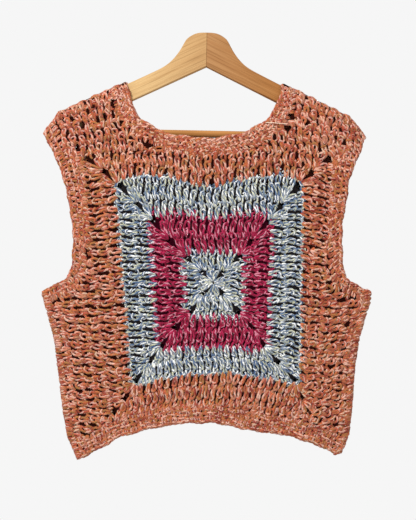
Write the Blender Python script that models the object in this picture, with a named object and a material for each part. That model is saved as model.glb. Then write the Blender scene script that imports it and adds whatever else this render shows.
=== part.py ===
"""Crochet vest hanging on a wooden hanger.

The vest is two flat crochet panels, front and back, joined along the sides and over the
shoulders. Each panel starts as a square worked in rounds, which sets its colour areas.
Neck, armholes and hem have edgings worked all round. The hanger is two wooden arms
mitred at the head, with a round bar between their ends.

Units are metres, +X to the right seen from the front, the front faces -Y, +Z is up.
The origin is the top of the hanger's head, where the whole hangs.
"""

import math

import bmesh
import bpy
from mathutils import Matrix, Vector
from mathutils.geometry import delaunay_2d_cdt

# Hanger

ARM_THICKNESS = 0.012
ARM_ROUNDING = 0.0055
ROUNDING_STEPS = 3
ARM_SLOPE = math.radians(25.75)
HANGER_TILT = math.radians(1.15)
ARM_TOP_AT_CENTRE = -0.0212
ARM_UNDERSIDE_AT_CENTRE = -0.0476
ARM_END = 0.203
ARM_TOP_PLACES = (0.085, 0.118, 0.152)
ARM_UNDERSIDE_PLACES = (0.120, 0.060, 0.012)
UNDERSIDE_EASE = 0.003
BAR_RADIUS = 0.005
BAR_HEIGHT = -0.142
BAR_HALF_LENGTH = 0.193
BAR_SIDES = 20
POCKET_CLEARANCE = 0.0003

# Right half of the head's outline, from the top down to where the arm's top edge begins
HEAD_OUTLINE = [
    # across, height
    (0.0120, 0.0000),
    (0.0205, -0.0020),
    (0.0265, -0.0060),
    (0.0305, -0.0115),
    (0.0335, -0.0170),
    (0.0370, -0.0225),
    (0.0410, -0.0290),
    (0.0465, -0.0365),
    (0.0540, -0.0445),
    (0.0640, -0.0515),
]

# Right half of the arm's end, from the top edge round to the underside
ARM_END_OUTLINE = [
    # across, height
    (0.1960, -0.1160),
    (0.2010, -0.1200),
    (0.2030, -0.1260),
    (0.2030, -0.1440),
    (0.2010, -0.1500),
    (0.1960, -0.1525),
    (0.1880, -0.1515),
    (0.1800, -0.1460),
    (0.1720, -0.1360),
    (0.1640, -0.1285),
]

# Vest

WALL = 0.005
SEAM_GAP = 0.0003
REST_GAP = 0.0009
RIDGE = 0.0009
BODY_DEPTH = 0.012
SIDE_RADIUS = 0.0035
SIDE_RUN = 0.050
SHOULDER_RUN = 0.090
TIP_RUN = 0.024
ARMPIT_HEIGHT = -0.364
NECK_LEFT = -0.112
NECK_RIGHT = 0.105
NECK_EDGING = 0.024
ARMHOLE_EDGING = 0.017
HEM_EDGING = 0.024
POINT_SPACING = 0.023
EDGE_SPACING = 0.014
BEND_SPACING = 0.006
SEAM_SEARCH = 0.060
STEP = 0.0002
SLIVER = 0.0000001

# Nearest that a point may lie to a piece's rim: in rows, in an edging, and on a turn
ROW_CLEARANCE = 0.0042
EDGING_CLEARANCE = 0.0030
TURN_CLEARANCE = 0.0016
EDGE_CLEARANCE = 0.0010

# Middle of the wall along the tops of the shoulders, past the ends of the hanger
SHOULDER_TIPS = {
    # across, height, from the tip inwards
    -1: [(-0.2290, -0.1415), (-0.2206, -0.1300), (-0.2120, -0.1190)],
    1: [(0.2220, -0.1470), (0.2136, -0.1360), (0.2050, -0.1245)],
}

# Armhole edges
ARMHOLES = [
    # height, left, right
    (-0.1650, -0.2170, 0.2160),
    (-0.1960, -0.2040, 0.2030),
    (-0.2300, -0.1950, 0.1960),
    (-0.2740, -0.1890, 0.1900),
    (-0.3080, -0.1880, 0.1890),
    (-0.3280, -0.1890, 0.1900),
    (-0.3420, -0.1960, 0.1950),
    (-0.3530, -0.2120, 0.2100),
]

# Outline of the sides. Above the armpits it is where the sides would run on upwards.
SIDES = [
    # height, left, right
    (-0.1000, -0.2700, 0.2700),
    (-0.3000, -0.2580, 0.2580),
    (-0.3640, -0.2320, 0.2310),
    (-0.3810, -0.2280, 0.2285),
    (-0.3980, -0.2230, 0.2225),
    (-0.4310, -0.2145, 0.2135),
    (-0.4650, -0.2100, 0.2080),
    (-0.4980, -0.2060, 0.2055),
    (-0.5320, -0.2020, 0.2030),
    (-0.5660, -0.1960, 0.1990),
    (-0.5950, -0.1840, 0.1860),
]

NECK = [
    # across, height
    (-0.1025, -0.1010),
    (-0.0980, -0.1120),
    (-0.0880, -0.1230),
    (-0.0670, -0.1350),
    (-0.0450, -0.1430),
    (0.0000, -0.1480),
    (0.0450, -0.1420),
    (0.0630, -0.1350),
    (0.0800, -0.1240),
    (0.0900, -0.1120),
    (0.0970, -0.1010),
]

HEM = [
    # across, height
    (-0.1570, -0.5880),
    (-0.1390, -0.5775),
    (-0.1180, -0.5670),
    (-0.0730, -0.5550),
    (-0.0350, -0.5485),
    (0.0050, -0.5465),
    (0.0380, -0.5535),
    (0.0750, -0.5600),
    (0.1120, -0.5665),
    (0.1500, -0.5770),
]
HEM_CORNERS = -0.5950

# Outer corners of the rounds of the square, and how far its sides bow at their middles
ROUNDS = [
    # top left, top right, bottom left, bottom right, top, bottom, top bow, bottom bow
    (-0.0154, 0.0308, -0.0126, 0.0308, -0.3269, -0.3759, 0.0000, 0.0000),
    (-0.0364, 0.0532, -0.0308, 0.0518, -0.3052, -0.4011, 0.0000, 0.0014),
    (-0.0616, 0.0700, -0.0518, 0.0728, -0.2814, -0.4235, -0.0014, 0.0035),
    (-0.0826, 0.0938, -0.0700, 0.0868, -0.2548, -0.4487, -0.0042, 0.0063),
    (-0.1064, 0.1120, -0.0868, 0.1078, -0.2317, -0.4718, -0.0063, 0.0119),
    (-0.1288, 0.1344, -0.1050, 0.1302, -0.2072, -0.4970, -0.0070, 0.0196),
    (-0.1512, 0.1554, -0.1204, 0.1386, -0.1869, -0.5229, -0.0063, 0.0238),
    (-0.1764, 0.1778, -0.1372, 0.1498, -0.1701, -0.5418, -0.0020, 0.0210),
]
SIDE_ROWS = 3
SHOULDER_ROWS = 3
SHOULDER_ROWS_START = 0.075

# Chain spaces at the corners of each round, set in from the round's corner
CORNER_HOLE_WIDTH = 0.0072
CORNER_HOLE_HEIGHT = 0.0105
CORNER_HOLE_INSET = (0.0062, 0.0078)
HOLE_SIDES = 6

# Larger gaps between the rows at the shoulders and under one arm
OTHER_HOLES = [
    # across, height, width, height of the gap
    (-0.1230, -0.1300, 0.0060, 0.0100),
    (-0.1456, -0.1180, 0.0060, 0.0090),
    (-0.1778, -0.1300, 0.0060, 0.0090),
    (-0.1834, -0.1610, 0.0060, 0.0090),
    (0.1134, -0.1370, 0.0090, 0.0110),
    (0.1390, -0.1340, 0.0060, 0.0100),
    (0.1050, -0.1560, 0.0060, 0.0080),
    (0.1800, -0.1560, 0.0060, 0.0080),
]

# Soft folds: places where a panel stands out or falls back
FOLDS = {
    "front": [
        # across, height, half width, half height, depth
        (0.0040, -0.5150, 0.0500, 0.1000, 0.0050),
        (0.0950, -0.5500, 0.0360, 0.0800, -0.0035),
        (-0.0950, -0.5500, 0.0400, 0.0800, -0.0020),
        (-0.1000, -0.2450, 0.0600, 0.0500, 0.0020),
        (0.1100, -0.2500, 0.0600, 0.0500, 0.0015),
    ],
    "back": [
        # across, height, half width, half height, depth
        (-0.0300, -0.5150, 0.0550, 0.1000, 0.0040),
        (0.0850, -0.5450, 0.0400, 0.0800, -0.0025),
        (-0.1150, -0.5500, 0.0360, 0.0800, -0.0025),
        (0.0200, -0.2300, 0.0900, 0.0450, 0.0020),
    ],
}

# Colour, roughness
YARNS = {
    "blue": ((0.52, 0.55, 0.56, 1.0), 0.92),
    "crimson": ((0.42, 0.05, 0.13, 1.0), 0.92),
    "coral": ((0.62, 0.20, 0.13, 1.0), 0.92),
}
LEFT_WOOD = ((0.66, 0.42, 0.20, 1.0), 0.50)
RIGHT_WOOD = ((0.56, 0.32, 0.13, 1.0), 0.50)


def remove_old_objects():
    for thing in list(bpy.data.objects):
        bpy.data.objects.remove(thing, do_unlink=True)


def make_material(name, look):
    colour, roughness = look
    material = bpy.data.materials.new(name)
    material.use_nodes = True
    shader = material.node_tree.nodes["Principled BSDF"]
    shader.inputs["Base Color"].default_value = colour
    shader.inputs["Roughness"].default_value = roughness
    shader.inputs["Metallic"].default_value = 0.0
    return material


def add_object(name, vertices, faces, material, sharp_angle=math.radians(50)):
    mesh = bpy.data.meshes.new(name)
    mesh.from_pydata(vertices, [], faces)
    work = bmesh.new()
    work.from_mesh(mesh)
    bmesh.ops.remove_doubles(work, verts=work.verts, dist=0.000001)
    bmesh.ops.recalc_face_normals(work, faces=work.faces)
    work.to_mesh(mesh)
    work.free()
    mesh.shade_smooth()
    mesh.set_sharp_from_angle(angle=sharp_angle)
    mesh.materials.append(material)
    thing = bpy.data.objects.new(name, mesh)
    bpy.context.scene.collection.objects.link(thing)
    return thing


# Curves in the flat

def smoothstep(value):
    value = min(1.0, max(0.0, value))
    return value * value * (3.0 - 2.0 * value)


def interpolate(rows, value, column):
    """Reads a column at a value of the first column, whose rows run up or down."""
    rows = sorted(rows)
    if value <= rows[0][0]:
        return rows[0][column]
    for low, high in zip(rows, rows[1:]):
        if value <= high[0]:
            share = (value - low[0]) / (high[0] - low[0])
            return low[column] + (high[column] - low[column]) * share
    return rows[-1][column]


def smooth_curve(points, samples=12):
    """A dense curve through all the points, with an even flow at each."""
    points = [Vector(point) for point in points]
    padded = [2 * points[0] - points[1]] + points + [2 * points[-1] - points[-2]]
    curve = []
    for before, start, end, after in zip(padded, padded[1:], padded[2:], padded[3:]):
        for index in range(samples):
            t = index / samples
            curve.append(0.5 * (
                2 * start
                + (end - before) * t
                + (2 * before - 5 * start + 4 * end - after) * t * t
                + (3 * start - before - 3 * end + after) * t * t * t
            ))
    curve.append(points[-1])
    return curve


def resample(curve, spacing, fine_start=(), fine_end=()):
    """Even points along a curve, with extra ones at these lengths from its ends."""
    lengths = [0.0]
    for start, end in zip(curve, curve[1:]):
        lengths.append(lengths[-1] + (end - start).length)
    total = lengths[-1]
    first = max(fine_start, default=0.0)
    last = total - max(fine_end, default=0.0)
    count = max(1, round((last - first) / spacing))
    stops = [0.0, total, *fine_start] + [total - length for length in fine_end]
    stops += [first + (last - first) * index / count for index in range(count + 1)]
    points = []
    for stop in sorted(stops):
        if points and (stop - previous) < spacing * 0.08:
            continue
        previous = stop
        index = max(i for i in range(len(lengths)) if lengths[i] <= stop + 1e-12)
        index = min(index, len(curve) - 2)
        run = lengths[index + 1] - lengths[index]
        share = (stop - lengths[index]) / run if run > 0 else 0.0
        points.append(curve[index].lerp(curve[index + 1], min(1.0, share)))
    return points


def offset_line(points, distance):
    """The line moved to its left, each point along the mitre of its two edges."""
    moved = []
    for index, point in enumerate(points):
        before = points[max(0, index - 1)]
        after = points[min(len(points) - 1, index + 1)]
        first = (point - before).normalized() if index > 0 else (after - point).normalized()
        second = (after - point).normalized() if index < len(points) - 1 else first
        normal = Vector((-first.y - second.y, first.x + second.x)).normalized()
        mitre = max(0.5, normal.dot(Vector((-first.y, first.x))))
        moved.append(point + normal * (distance / mitre))
    return moved


def offset_loop(points, distance):
    """A closed loop moved to its left."""
    size = len(points)
    ring = offset_line([points[-1]] + points + [points[0]], distance)
    return ring[1:size + 1]


def segment_distance(point, start, end):
    run = end - start
    share = max(0.0, min(1.0, (point - start).dot(run) / max(run.length_squared, 1e-18)))
    return (point - start - run * share).length


def line_distance(point, line, closed=False):
    ends = line[1:] + line[:1] if closed else line[1:]
    return min(segment_distance(point, start, end) for start, end in zip(line, ends))


def is_inside(point, loop):
    inside = False
    for start, end in zip(loop, loop[1:] + loop[:1]):
        if (start.y > point.y) != (end.y > point.y):
            cross = start.x + (point.y - start.y) / (end.y - start.y) * (end.x - start.x)
            if point.x < cross:
                inside = not inside
    return inside


# Hanger outline, before and after its tilt

def tilt(point):
    x, z = point
    return Vector((
        x * math.cos(HANGER_TILT) + z * math.sin(HANGER_TILT),
        z * math.cos(HANGER_TILT) - x * math.sin(HANGER_TILT),
    ))


def arm_top(x):
    """Height of the tilted arm's top edge."""
    side = -1.0 if x < 0 else 1.0
    inner, outer = (
        tilt((side * along, ARM_TOP_AT_CENTRE - along * math.tan(ARM_SLOPE)))
        for along in (0.0, ARM_END)
    )
    return inner.y + (outer.y - inner.y) * (x - inner.x) / (outer.x - inner.x)


# Drape of the cloth: a point of the flat pattern goes to its place on the wall's middle

def shoulder_middle(x):
    """Height of the wall's middle where it lies over the top of the shoulder."""
    side = -1 if x < 0 else 1
    slope = ARM_SLOPE + side * HANGER_TILT
    seat = arm_top(x) + (WALL / 2 + REST_GAP) / math.cos(slope)
    tip = SHOULDER_TIPS[side]
    start = abs(tip[-1][0])
    bend = side * (start - BEND_SPACING)
    if abs(x) <= abs(bend):
        return seat
    rows = tip + [(bend, arm_top(bend) + seat - arm_top(x))]
    return interpolate(rows, x, 1)


def shoulder_radius(x):
    """Half depth of the cloth over the arm, less past the arm's end."""
    over_arm = ARM_THICKNESS / 2 + REST_GAP + WALL / 2
    tip_x = SHOULDER_TIPS[-1 if x < 0 else 1][0][0]
    inside = abs(tip_x) - abs(x)
    return SIDE_RADIUS + (over_arm - SIDE_RADIUS) * smoothstep(inside / TIP_RUN)


def shoulder_seam(x):
    """Height of the shoulder seam in the flat pattern."""
    return shoulder_middle(x) + (math.pi / 2 - 1) * shoulder_radius(x)


def side_axis(side, height):
    """Where the cloth starts to turn round the side."""
    outline = interpolate(SIDES, height, 1 if side < 0 else 2)
    return outline - side * (WALL / 2 + SIDE_RADIUS)


def side_seam(side, height):
    """Place of the side seam in the flat pattern."""
    return side_axis(side, height) + side * SIDE_RADIUS * math.pi / 2


def fold_depth(x, height, folds):
    depth = 0.0
    for fold_x, fold_height, half_width, half_height, amount in folds:
        across = (x - fold_x) / half_width
        along = (height - fold_height) / half_height
        depth += amount * math.exp(-across * across - along * along)
    return depth


def drape(x, height, folds):
    """World place on the middle of the front wall: across, depth, height."""
    side = -1 if x < 0 else 1
    turn_x = side_axis(side, height)
    past_side = side * (x - turn_x)
    body_share = smoothstep(-past_side / SIDE_RUN)
    body = SIDE_RADIUS + (BODY_DEPTH - SIDE_RADIUS) * body_share
    body += fold_depth(x, height, folds) * body_share

    radius = shoulder_radius(x)
    turn_height = shoulder_middle(x) - radius
    drop = turn_height - height
    depth = radius + (body - radius) * smoothstep(drop / SHOULDER_RUN)
    world_x = x
    world_z = height
    if past_side > 0:
        angle = past_side / SIDE_RADIUS
        world_x = turn_x + side * SIDE_RADIUS * math.sin(angle)
        depth = depth * math.cos(angle)
    if drop < 0:
        angle = -drop / radius
        world_z = turn_height + radius * math.sin(angle)
        depth = depth * math.cos(angle)
    return Vector((world_x, -depth, world_z))


def drape_normal(x, height, folds):
    across = drape(x + STEP, height, folds) - drape(x - STEP, height, folds)
    along = drape(x, height + STEP, folds) - drape(x, height - STEP, folds)
    return across.cross(along).normalized()


# Outlines of the panels' pieces in the flat pattern

SHOULDER_TURN = (ARM_THICKNESS / 2 + REST_GAP + WALL / 2) * math.pi / 2
SIDE_TURN = SIDE_RADIUS * math.pi / 2
SHOULDER_STOPS = [SHOULDER_TURN * step / 4 for step in (1, 2, 3, 4)]
SIDE_STOPS = [SIDE_TURN * step / 2 for step in (1, 2)]


def neck_line():
    ends = [(NECK_LEFT, shoulder_seam(NECK_LEFT)), (NECK_RIGHT, shoulder_seam(NECK_RIGHT))]
    curve = smooth_curve([ends[0]] + NECK + [ends[1]])
    return resample(curve, EDGE_SPACING, SHOULDER_STOPS, SHOULDER_STOPS)


def armhole_line(side):
    tip_x = SHOULDER_TIPS[side][0][0]
    column = 1 if side < 0 else 2
    points = [(tip_x, shoulder_seam(tip_x))]
    points += [(row[column], row[0]) for row in ARMHOLES]
    points.append((side_seam(side, ARMPIT_HEIGHT), ARMPIT_HEIGHT))
    return resample(smooth_curve(points), EDGE_SPACING, SIDE_STOPS, SIDE_STOPS)


def hem_line():
    ends = [(side_seam(side, HEM_CORNERS), HEM_CORNERS) for side in (-1, 1)]
    curve = smooth_curve([ends[0]] + HEM + [ends[1]])
    return resample(curve, EDGE_SPACING, SIDE_STOPS, SIDE_STOPS)


def shoulder_point(x):
    return Vector((x, shoulder_seam(x)))


def side_point(side, height):
    return Vector((side_seam(side, height), height))


def seam_end(seam, start, end, line, distance):
    """The first place along a seam, from start to end, this far from a line."""
    steps = 400
    for index in range(steps + 1):
        point = seam(start + (end - start) * index / steps)
        if line_distance(point, line) >= distance:
            return point
    return point


def strip_edge(line, width, side, extra, seams):
    """The far edge of a strip along a line, moved on by the gap to what it meets.

    The side is 1 where the cloth is on the line's left. The seams are those at the line's
    start and end, each with where it starts and where to look to.
    """
    ends = [
        [seam_end(*seam, line, width + more) for seam in seams]
        for more in (0.0, extra)
    ]
    level = offset_line(line, side * width)
    moved = offset_line(line, side * (width + extra))
    apart = width * 0.12
    kept = [
        point for place, point in list(zip(level, moved))[1:-1]
        if (place - ends[0][0]).length > apart and (place - ends[0][1]).length > apart
    ]
    return [ends[1][0]] + kept + [ends[1][1]]


def neck_edge(extra=0.0):
    """The neck line moved into the cloth, which is on its right."""
    seams = [
        (shoulder_point, NECK_LEFT, NECK_LEFT - SEAM_SEARCH),
        (shoulder_point, NECK_RIGHT, NECK_RIGHT + SEAM_SEARCH),
    ]
    return strip_edge(neck_line(), NECK_EDGING, -1, extra, seams)


def armhole_edge(side, extra=0.0):
    tip_x = SHOULDER_TIPS[side][0][0]
    seams = [
        (shoulder_point, tip_x, tip_x - side * SEAM_SEARCH),
        (lambda height: side_point(side, height), ARMPIT_HEIGHT, ARMPIT_HEIGHT - SEAM_SEARCH),
    ]
    return strip_edge(armhole_line(side), ARMHOLE_EDGING, -side, extra, seams)


def hem_edge(extra=0.0):
    seams = [
        (lambda height, side=side: side_point(side, height), HEM_CORNERS,
         HEM_CORNERS + SEAM_SEARCH)
        for side in (-1, 1)
    ]
    return strip_edge(hem_line(), HEM_EDGING, 1, extra, seams)


def shoulder_run(start_x, end_x, spacing=POINT_SPACING):
    """Points along the shoulder seam, with closer ones where it bends past the arm's end."""
    side = -1 if start_x < 0 else 1
    low, high = sorted((abs(start_x), abs(end_x)))
    bend = abs(SHOULDER_TIPS[side][-1][0])
    bends = [place for place in (bend - BEND_SPACING, bend) if low < place < high]
    straight_end = bends[0] if bends else high
    count = max(1, round((straight_end - low) / spacing))
    places = [low + (straight_end - low) * i / count for i in range(count + 1)]
    places += bends[1:] + [high]
    kept = [places[0]]
    for place in places[1:]:
        if place - kept[-1] > BEND_SPACING * 0.4:
            kept.append(place)
    kept[-1] = high
    if start_x * side > end_x * side:
        kept.reverse()
    return [shoulder_point(side * place) for place in kept]


def side_run(side, start, end, spacing=POINT_SPACING):
    count = max(1, round(abs(end - start) / spacing))
    return [side_point(side, start + (end - start) * i / count) for i in range(count + 1)]


def round_side(corner, next_corner, bow, count):
    """One bowed side of a round, without its last corner."""
    points = []
    for index in range(count):
        share = index / count
        point = corner.lerp(next_corner, share)
        point.y += bow * 4 * share * (1 - share)
        points.append(point)
    return points


def round_loop(index, count=None):
    """A round's outer edge, left turning, from its bottom left corner."""
    left, right, low_left, low_right, top, bottom, top_bow, bottom_bow = ROUNDS[index]
    corners = [
        Vector((low_left, bottom)),
        Vector((low_right, bottom)),
        Vector((right, top)),
        Vector((left, top)),
    ]
    bows = [bottom_bow, 0.0, top_bow, 0.0]
    loop = []
    for number, corner in enumerate(corners):
        after = corners[(number + 1) % 4]
        steps = count or max(2, round((after - corner).length / POINT_SPACING))
        loop += round_side(corner, after, bows[number], steps)
    return loop


def ellipse(x, height, width, tall):
    return [
        Vector((
            x + width / 2 * math.cos(2 * math.pi * (i + 0.5) / HOLE_SIDES),
            height + tall / 2 * math.sin(2 * math.pi * (i + 0.5) / HOLE_SIDES),
        ))
        for i in range(HOLE_SIDES)
    ]


def corner_holes(indexes):
    holes = []
    inset_x, inset_z = CORNER_HOLE_INSET
    for index in indexes:
        left, right, low_left, low_right, top, bottom = ROUNDS[index][:6]
        for x, height, side, up in (
            (left, top, 1, -1),
            (right, top, -1, -1),
            (low_left, bottom, 1, 1),
            (low_right, bottom, -1, 1),
        ):
            holes.append(ellipse(
                x + side * inset_x, height + up * inset_z,
                CORNER_HOLE_WIDTH, CORNER_HOLE_HEIGHT))
    return holes


# Lines of the rows, raised where one row's chain edge meets the next

def round_rows(indexes):
    rows = []
    for index in indexes:
        outer = round_loop(index)
        rows.append((outer, RIDGE, True))
        if index > 0:
            steps = max(2, round(len(outer) / 4))
            inner = round_loop(index - 1, steps)
            outer = round_loop(index, steps)
            middle = [a.lerp(b, 0.5) for a, b in zip(inner, outer)]
            rows.append((middle, 0.0, True))
    return rows


def side_rows():
    """Rows beside the square, under the arms."""
    rows = []
    left, right, low_left, low_right, top, bottom = ROUNDS[-1][:6]
    for side, upper, lower in ((-1, left, low_left), (1, right, low_right)):
        for step in range(1, SIDE_ROWS * 2):
            line = []
            height = ARMPIT_HEIGHT + ARMHOLE_EDGING
            while height > HEM_CORNERS:
                share = (top - height) / (top - bottom)
                inner = upper + (lower - upper) * share
                outer = side_axis(side, height)
                line.append(Vector((inner + (outer - inner) * step / SIDE_ROWS / 2, height)))
                height -= POINT_SPACING
            rows.append((line, RIDGE if step % 2 == 0 else 0.0, False))
    return rows


def shoulder_rows():
    """Rows between the square and the shoulders, along the shoulders' slope."""
    rows = []
    left, right, top = ROUNDS[-1][0], ROUNDS[-1][1], ROUNDS[-1][4]
    for side, corner in ((-1, left), (1, right)):
        corner_drop = shoulder_seam(corner) - SHOULDER_TURN - top
        row_height = corner_drop / SHOULDER_ROWS
        for step in range(1, SHOULDER_ROWS * 2):
            line = []
            x = side * SHOULDER_ROWS_START
            while abs(x) < ARM_END:
                height = shoulder_seam(x) - SHOULDER_TURN - row_height * step / 2
                if height > top + ROW_CLEARANCE:
                    line.append(Vector((x, height)))
                x += side * POINT_SPACING
            rows.append((line, RIDGE if step % 2 == 0 else 0.0, False))
    return rows


def turn_rows(shoulder_limits, side_limits):
    """Rows of points that keep the turns over the shoulders and round the sides round."""
    rows = []
    for side in (-1, 1):
        near, far = shoulder_limits[side]
        for stop in SHOULDER_STOPS:
            line = shoulder_run(near, far)
            rows.append(([point - Vector((0, stop)) for point in line], 0.0, False))
        high, low = side_limits[side]
        for stop in SIDE_STOPS:
            line = side_run(side, high, low)
            rows.append(([point - Vector((side * stop, 0)) for point in line], 0.0, False))
    return rows


# Solids

def fill(outer, holes, rows, clearance=ROW_CLEARANCE, turn=()):
    """Triangles of a flat piece. Gives points, their raise and the triangles."""
    points = []
    raises = []
    edges = []

    def add_loop(loop):
        first = len(points)
        points.extend(loop)
        raises.extend([0.0] * len(loop))
        edges.extend((first + i, first + (i + 1) % len(loop)) for i in range(len(loop)))

    add_loop(outer)
    for hole in holes:
        add_loop(hole)
    loops = [outer] + holes
    placed = []
    for rows_here, space in ((turn, TURN_CLEARANCE), (rows, clearance)):
        for line, rise, closed in rows_here:
            last = None
            first_index = None
            for point in line:
                fits = (
                    is_inside(point, outer)
                    and not any(is_inside(point, hole) for hole in holes)
                    and all(line_distance(point, loop, True) > space for loop in loops)
                    and all((point - other).length > space for other in placed)
                )
                if not fits:
                    last = None
                    continue
                points.append(point)
                raises.append(rise)
                placed.append(point)
                index = len(points) - 1
                if last is not None:
                    edges.append((last, index))
                if first_index is None and point is line[0]:
                    first_index = index
                last = index
            if closed and last is not None and first_index is not None:
                edges.append((last, first_index))

    edges = [
        edge for number, edge in enumerate(edges)
        if number < sum(len(loop) for loop in loops)
        or not any(edge_meets(points[edge[0]], points[edge[1]], loop) for loop in loops)
    ]
    result = delaunay_2d_cdt(points, edges, [], 0, 0.0000005)
    flat, faces, origins = result[0], result[2], result[3]
    rise_of = [max((raises[i] for i in origin), default=0.0) for origin in origins]
    triangles = []
    for face in faces:
        middle = (flat[face[0]] + flat[face[1]] + flat[face[2]]) / 3
        if is_inside(middle, outer) and not any(is_inside(middle, hole) for hole in holes):
            a, b, c = (flat[i] for i in face)
            twice_area = (b - a).cross(c - a)
            if abs(twice_area) < SLIVER:
                continue
            triangles.append(tuple(face if twice_area > 0 else face[::-1]))
    return flat, rise_of, triangles


def edge_meets(start, end, loop):
    """Whether the edge comes too near to a loop."""
    places = (start.lerp(end, share) for share in (0.2, 0.4, 0.6, 0.8))
    return any(line_distance(place, loop, True) < EDGE_CLEARANCE for place in places)


def wall_half(flat, rises, triangles, folds, back, gap, open_seams):
    """One side's wall: vertices and faces, its rim closed apart from open seams."""
    vertices = []
    on_seam = []
    flip = -1.0 if back else 1.0
    for point, rise in zip(flat, rises):
        middle = drape(point.x, point.y, folds)
        normal = drape_normal(point.x, point.y, folds)
        on_seam.append(abs(middle.y) < 0.00001)
        for place in (middle + normal * (WALL / 2 + rise), middle - normal * WALL / 2):
            if on_seam[-1]:
                place.y = 0.0
            vertices.append(Vector((place.x, flip * (place.y - gap / 2), place.z)))
    faces = []
    rim = {}
    for face in triangles:
        faces.append([i * 2 for i in face])
        faces.append([i * 2 + 1 for i in reversed(face)])
        for start, end in zip(face, face[1:] + face[:1]):
            if (end, start) in rim:
                del rim[(end, start)]
            else:
                rim[(start, end)] = True
    for start, end in rim:
        if open_seams and on_seam[start] and on_seam[end]:
            continue
        ends = [end * 2, start * 2, start * 2 + 1, end * 2 + 1]
        # Both sides of a seam are split from the same end, so their twists match
        if tuple(flat[start]) < tuple(flat[end]):
            ends = ends[1:] + ends[:1]
        faces += [[ends[0], ends[1], ends[2]], [ends[0], ends[2], ends[3]]]
    if back:
        faces = [list(reversed(face)) for face in faces]
    return vertices, faces


def drop_loose(flat, rises, triangles):
    used = sorted({i for face in triangles for i in face})
    place = {old: new for new, old in enumerate(used)}
    return (
        [flat[i] for i in used],
        [rises[i] for i in used],
        [tuple(place[i] for i in face) for face in triangles],
    )


def make_panel_piece(name, outer, holes, rows, material, panel, turn=()):
    flat, rises, triangles = drop_loose(*fill(outer, holes, rows, turn=turn))
    vertices, faces = wall_half(
        flat, rises, triangles, FOLDS[panel], panel == "back", SEAM_GAP, False)
    add_object(f"{panel}_{name}", vertices, faces, material)


def make_ring(name, outer, rows, material, turn=()):
    """An edging worked all round: its front half and back half in one solid."""
    flat, rises, triangles = drop_loose(*fill(outer, [], rows, EDGING_CLEARANCE, turn))
    vertices, faces = wall_half(flat, rises, triangles, FOLDS["front"], False, 0.0, True)
    more, more_faces = wall_half(flat, rises, triangles, FOLDS["back"], True, 0.0, True)
    first = len(vertices)
    faces += [[i + first for i in face] for face in more_faces]
    add_object(name, vertices + more, faces, material)


def strip_rows(line, edge, count):
    """Ridges along an edging, between its rows."""
    rows = []
    for step in range(1, count):
        share = step / count
        row = []
        for point in line:
            near = min(edge, key=lambda other: (other - point).length)
            row.append(point.lerp(near, share))
        rows.append((row, RIDGE, False))
    return rows


def make_panel(panel, materials):
    half_gap = SEAM_GAP / 2
    loops = {index: round_loop(index) for index in (1, 3, 5)}
    inner = {index: offset_loop(loop, half_gap) for index, loop in loops.items()}
    outer = {index: offset_loop(loop, -half_gap) for index, loop in loops.items()}

    make_panel_piece(
        "centre_square", inner[1], corner_holes([0, 1]), round_rows([0, 1]),
        materials["blue"], panel)
    make_panel_piece(
        "crimson_frame", inner[3], [outer[1]] + corner_holes([2, 3]), round_rows([2, 3]),
        materials["crimson"], panel)
    make_panel_piece(
        "blue_frame", inner[5], [outer[3]] + corner_holes([4, 5]), round_rows([4, 5]),
        materials["blue"], panel)

    neck = neck_edge(SEAM_GAP)
    hem = hem_edge(SEAM_GAP)
    arms = {side: armhole_edge(side, SEAM_GAP) for side in (-1, 1)}
    outline = []
    outline += shoulder_run(neck[0].x, arms[-1][0].x)[:-1]
    outline += arms[-1][:-1]
    outline += side_run(-1, arms[-1][-1].y, hem[0].y)[:-1]
    outline += hem[:-1]
    outline += side_run(1, hem[-1].y, arms[1][-1].y)[:-1]
    outline += arms[1][::-1][:-1]
    outline += shoulder_run(arms[1][0].x, neck[-1].x)[:-1]
    outline += neck[::-1][:-1]
    turn = turn_rows(
        {-1: (neck[0].x, arms[-1][0].x), 1: (neck[-1].x, arms[1][0].x)},
        {-1: (arms[-1][-1].y, hem[0].y), 1: (arms[1][-1].y, hem[-1].y)})
    holes = [outer[5]] + corner_holes([6, 7]) + [ellipse(*hole) for hole in OTHER_HOLES]
    rows = round_rows([6, 7]) + side_rows() + shoulder_rows()
    make_panel_piece("coral_body", outline, holes, rows, materials["coral"], panel, turn)


def make_edgings(materials):
    coral = materials["coral"]

    line = neck_line()
    edge = neck_edge()
    outline = line + shoulder_run(line[-1].x, edge[-1].x, 0.012)[1:-1] + edge[::-1]
    outline += shoulder_run(edge[0].x, line[0].x, 0.012)[1:-1]
    turn = turn_rows({-1: (line[0].x, edge[0].x), 1: (line[-1].x, edge[-1].x)},
                     {-1: (0, 0), 1: (0, 0)})
    make_ring("neck_edging", outline, strip_rows(line, edge, 3), coral, turn)

    for side, name in ((-1, "left_armhole_edging"), (1, "right_armhole_edging")):
        line = armhole_line(side)
        edge = armhole_edge(side)
        outline = line + side_run(side, line[-1].y, edge[-1].y, 0.010)[1:-1] + edge[::-1]
        outline += shoulder_run(edge[0].x, line[0].x, 0.008)[1:-1]
        make_ring(name, outline, strip_rows(line, edge, 2), coral)

    line = hem_line()
    edge = hem_edge()
    outline = line + side_run(1, line[-1].y, edge[-1].y, 0.010)[1:-1] + edge[::-1]
    outline += side_run(-1, edge[0].y, line[0].y, 0.010)[1:-1]
    make_ring("hem_edging", outline, strip_rows(line, edge, 3), coral)


# Hanger

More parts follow.
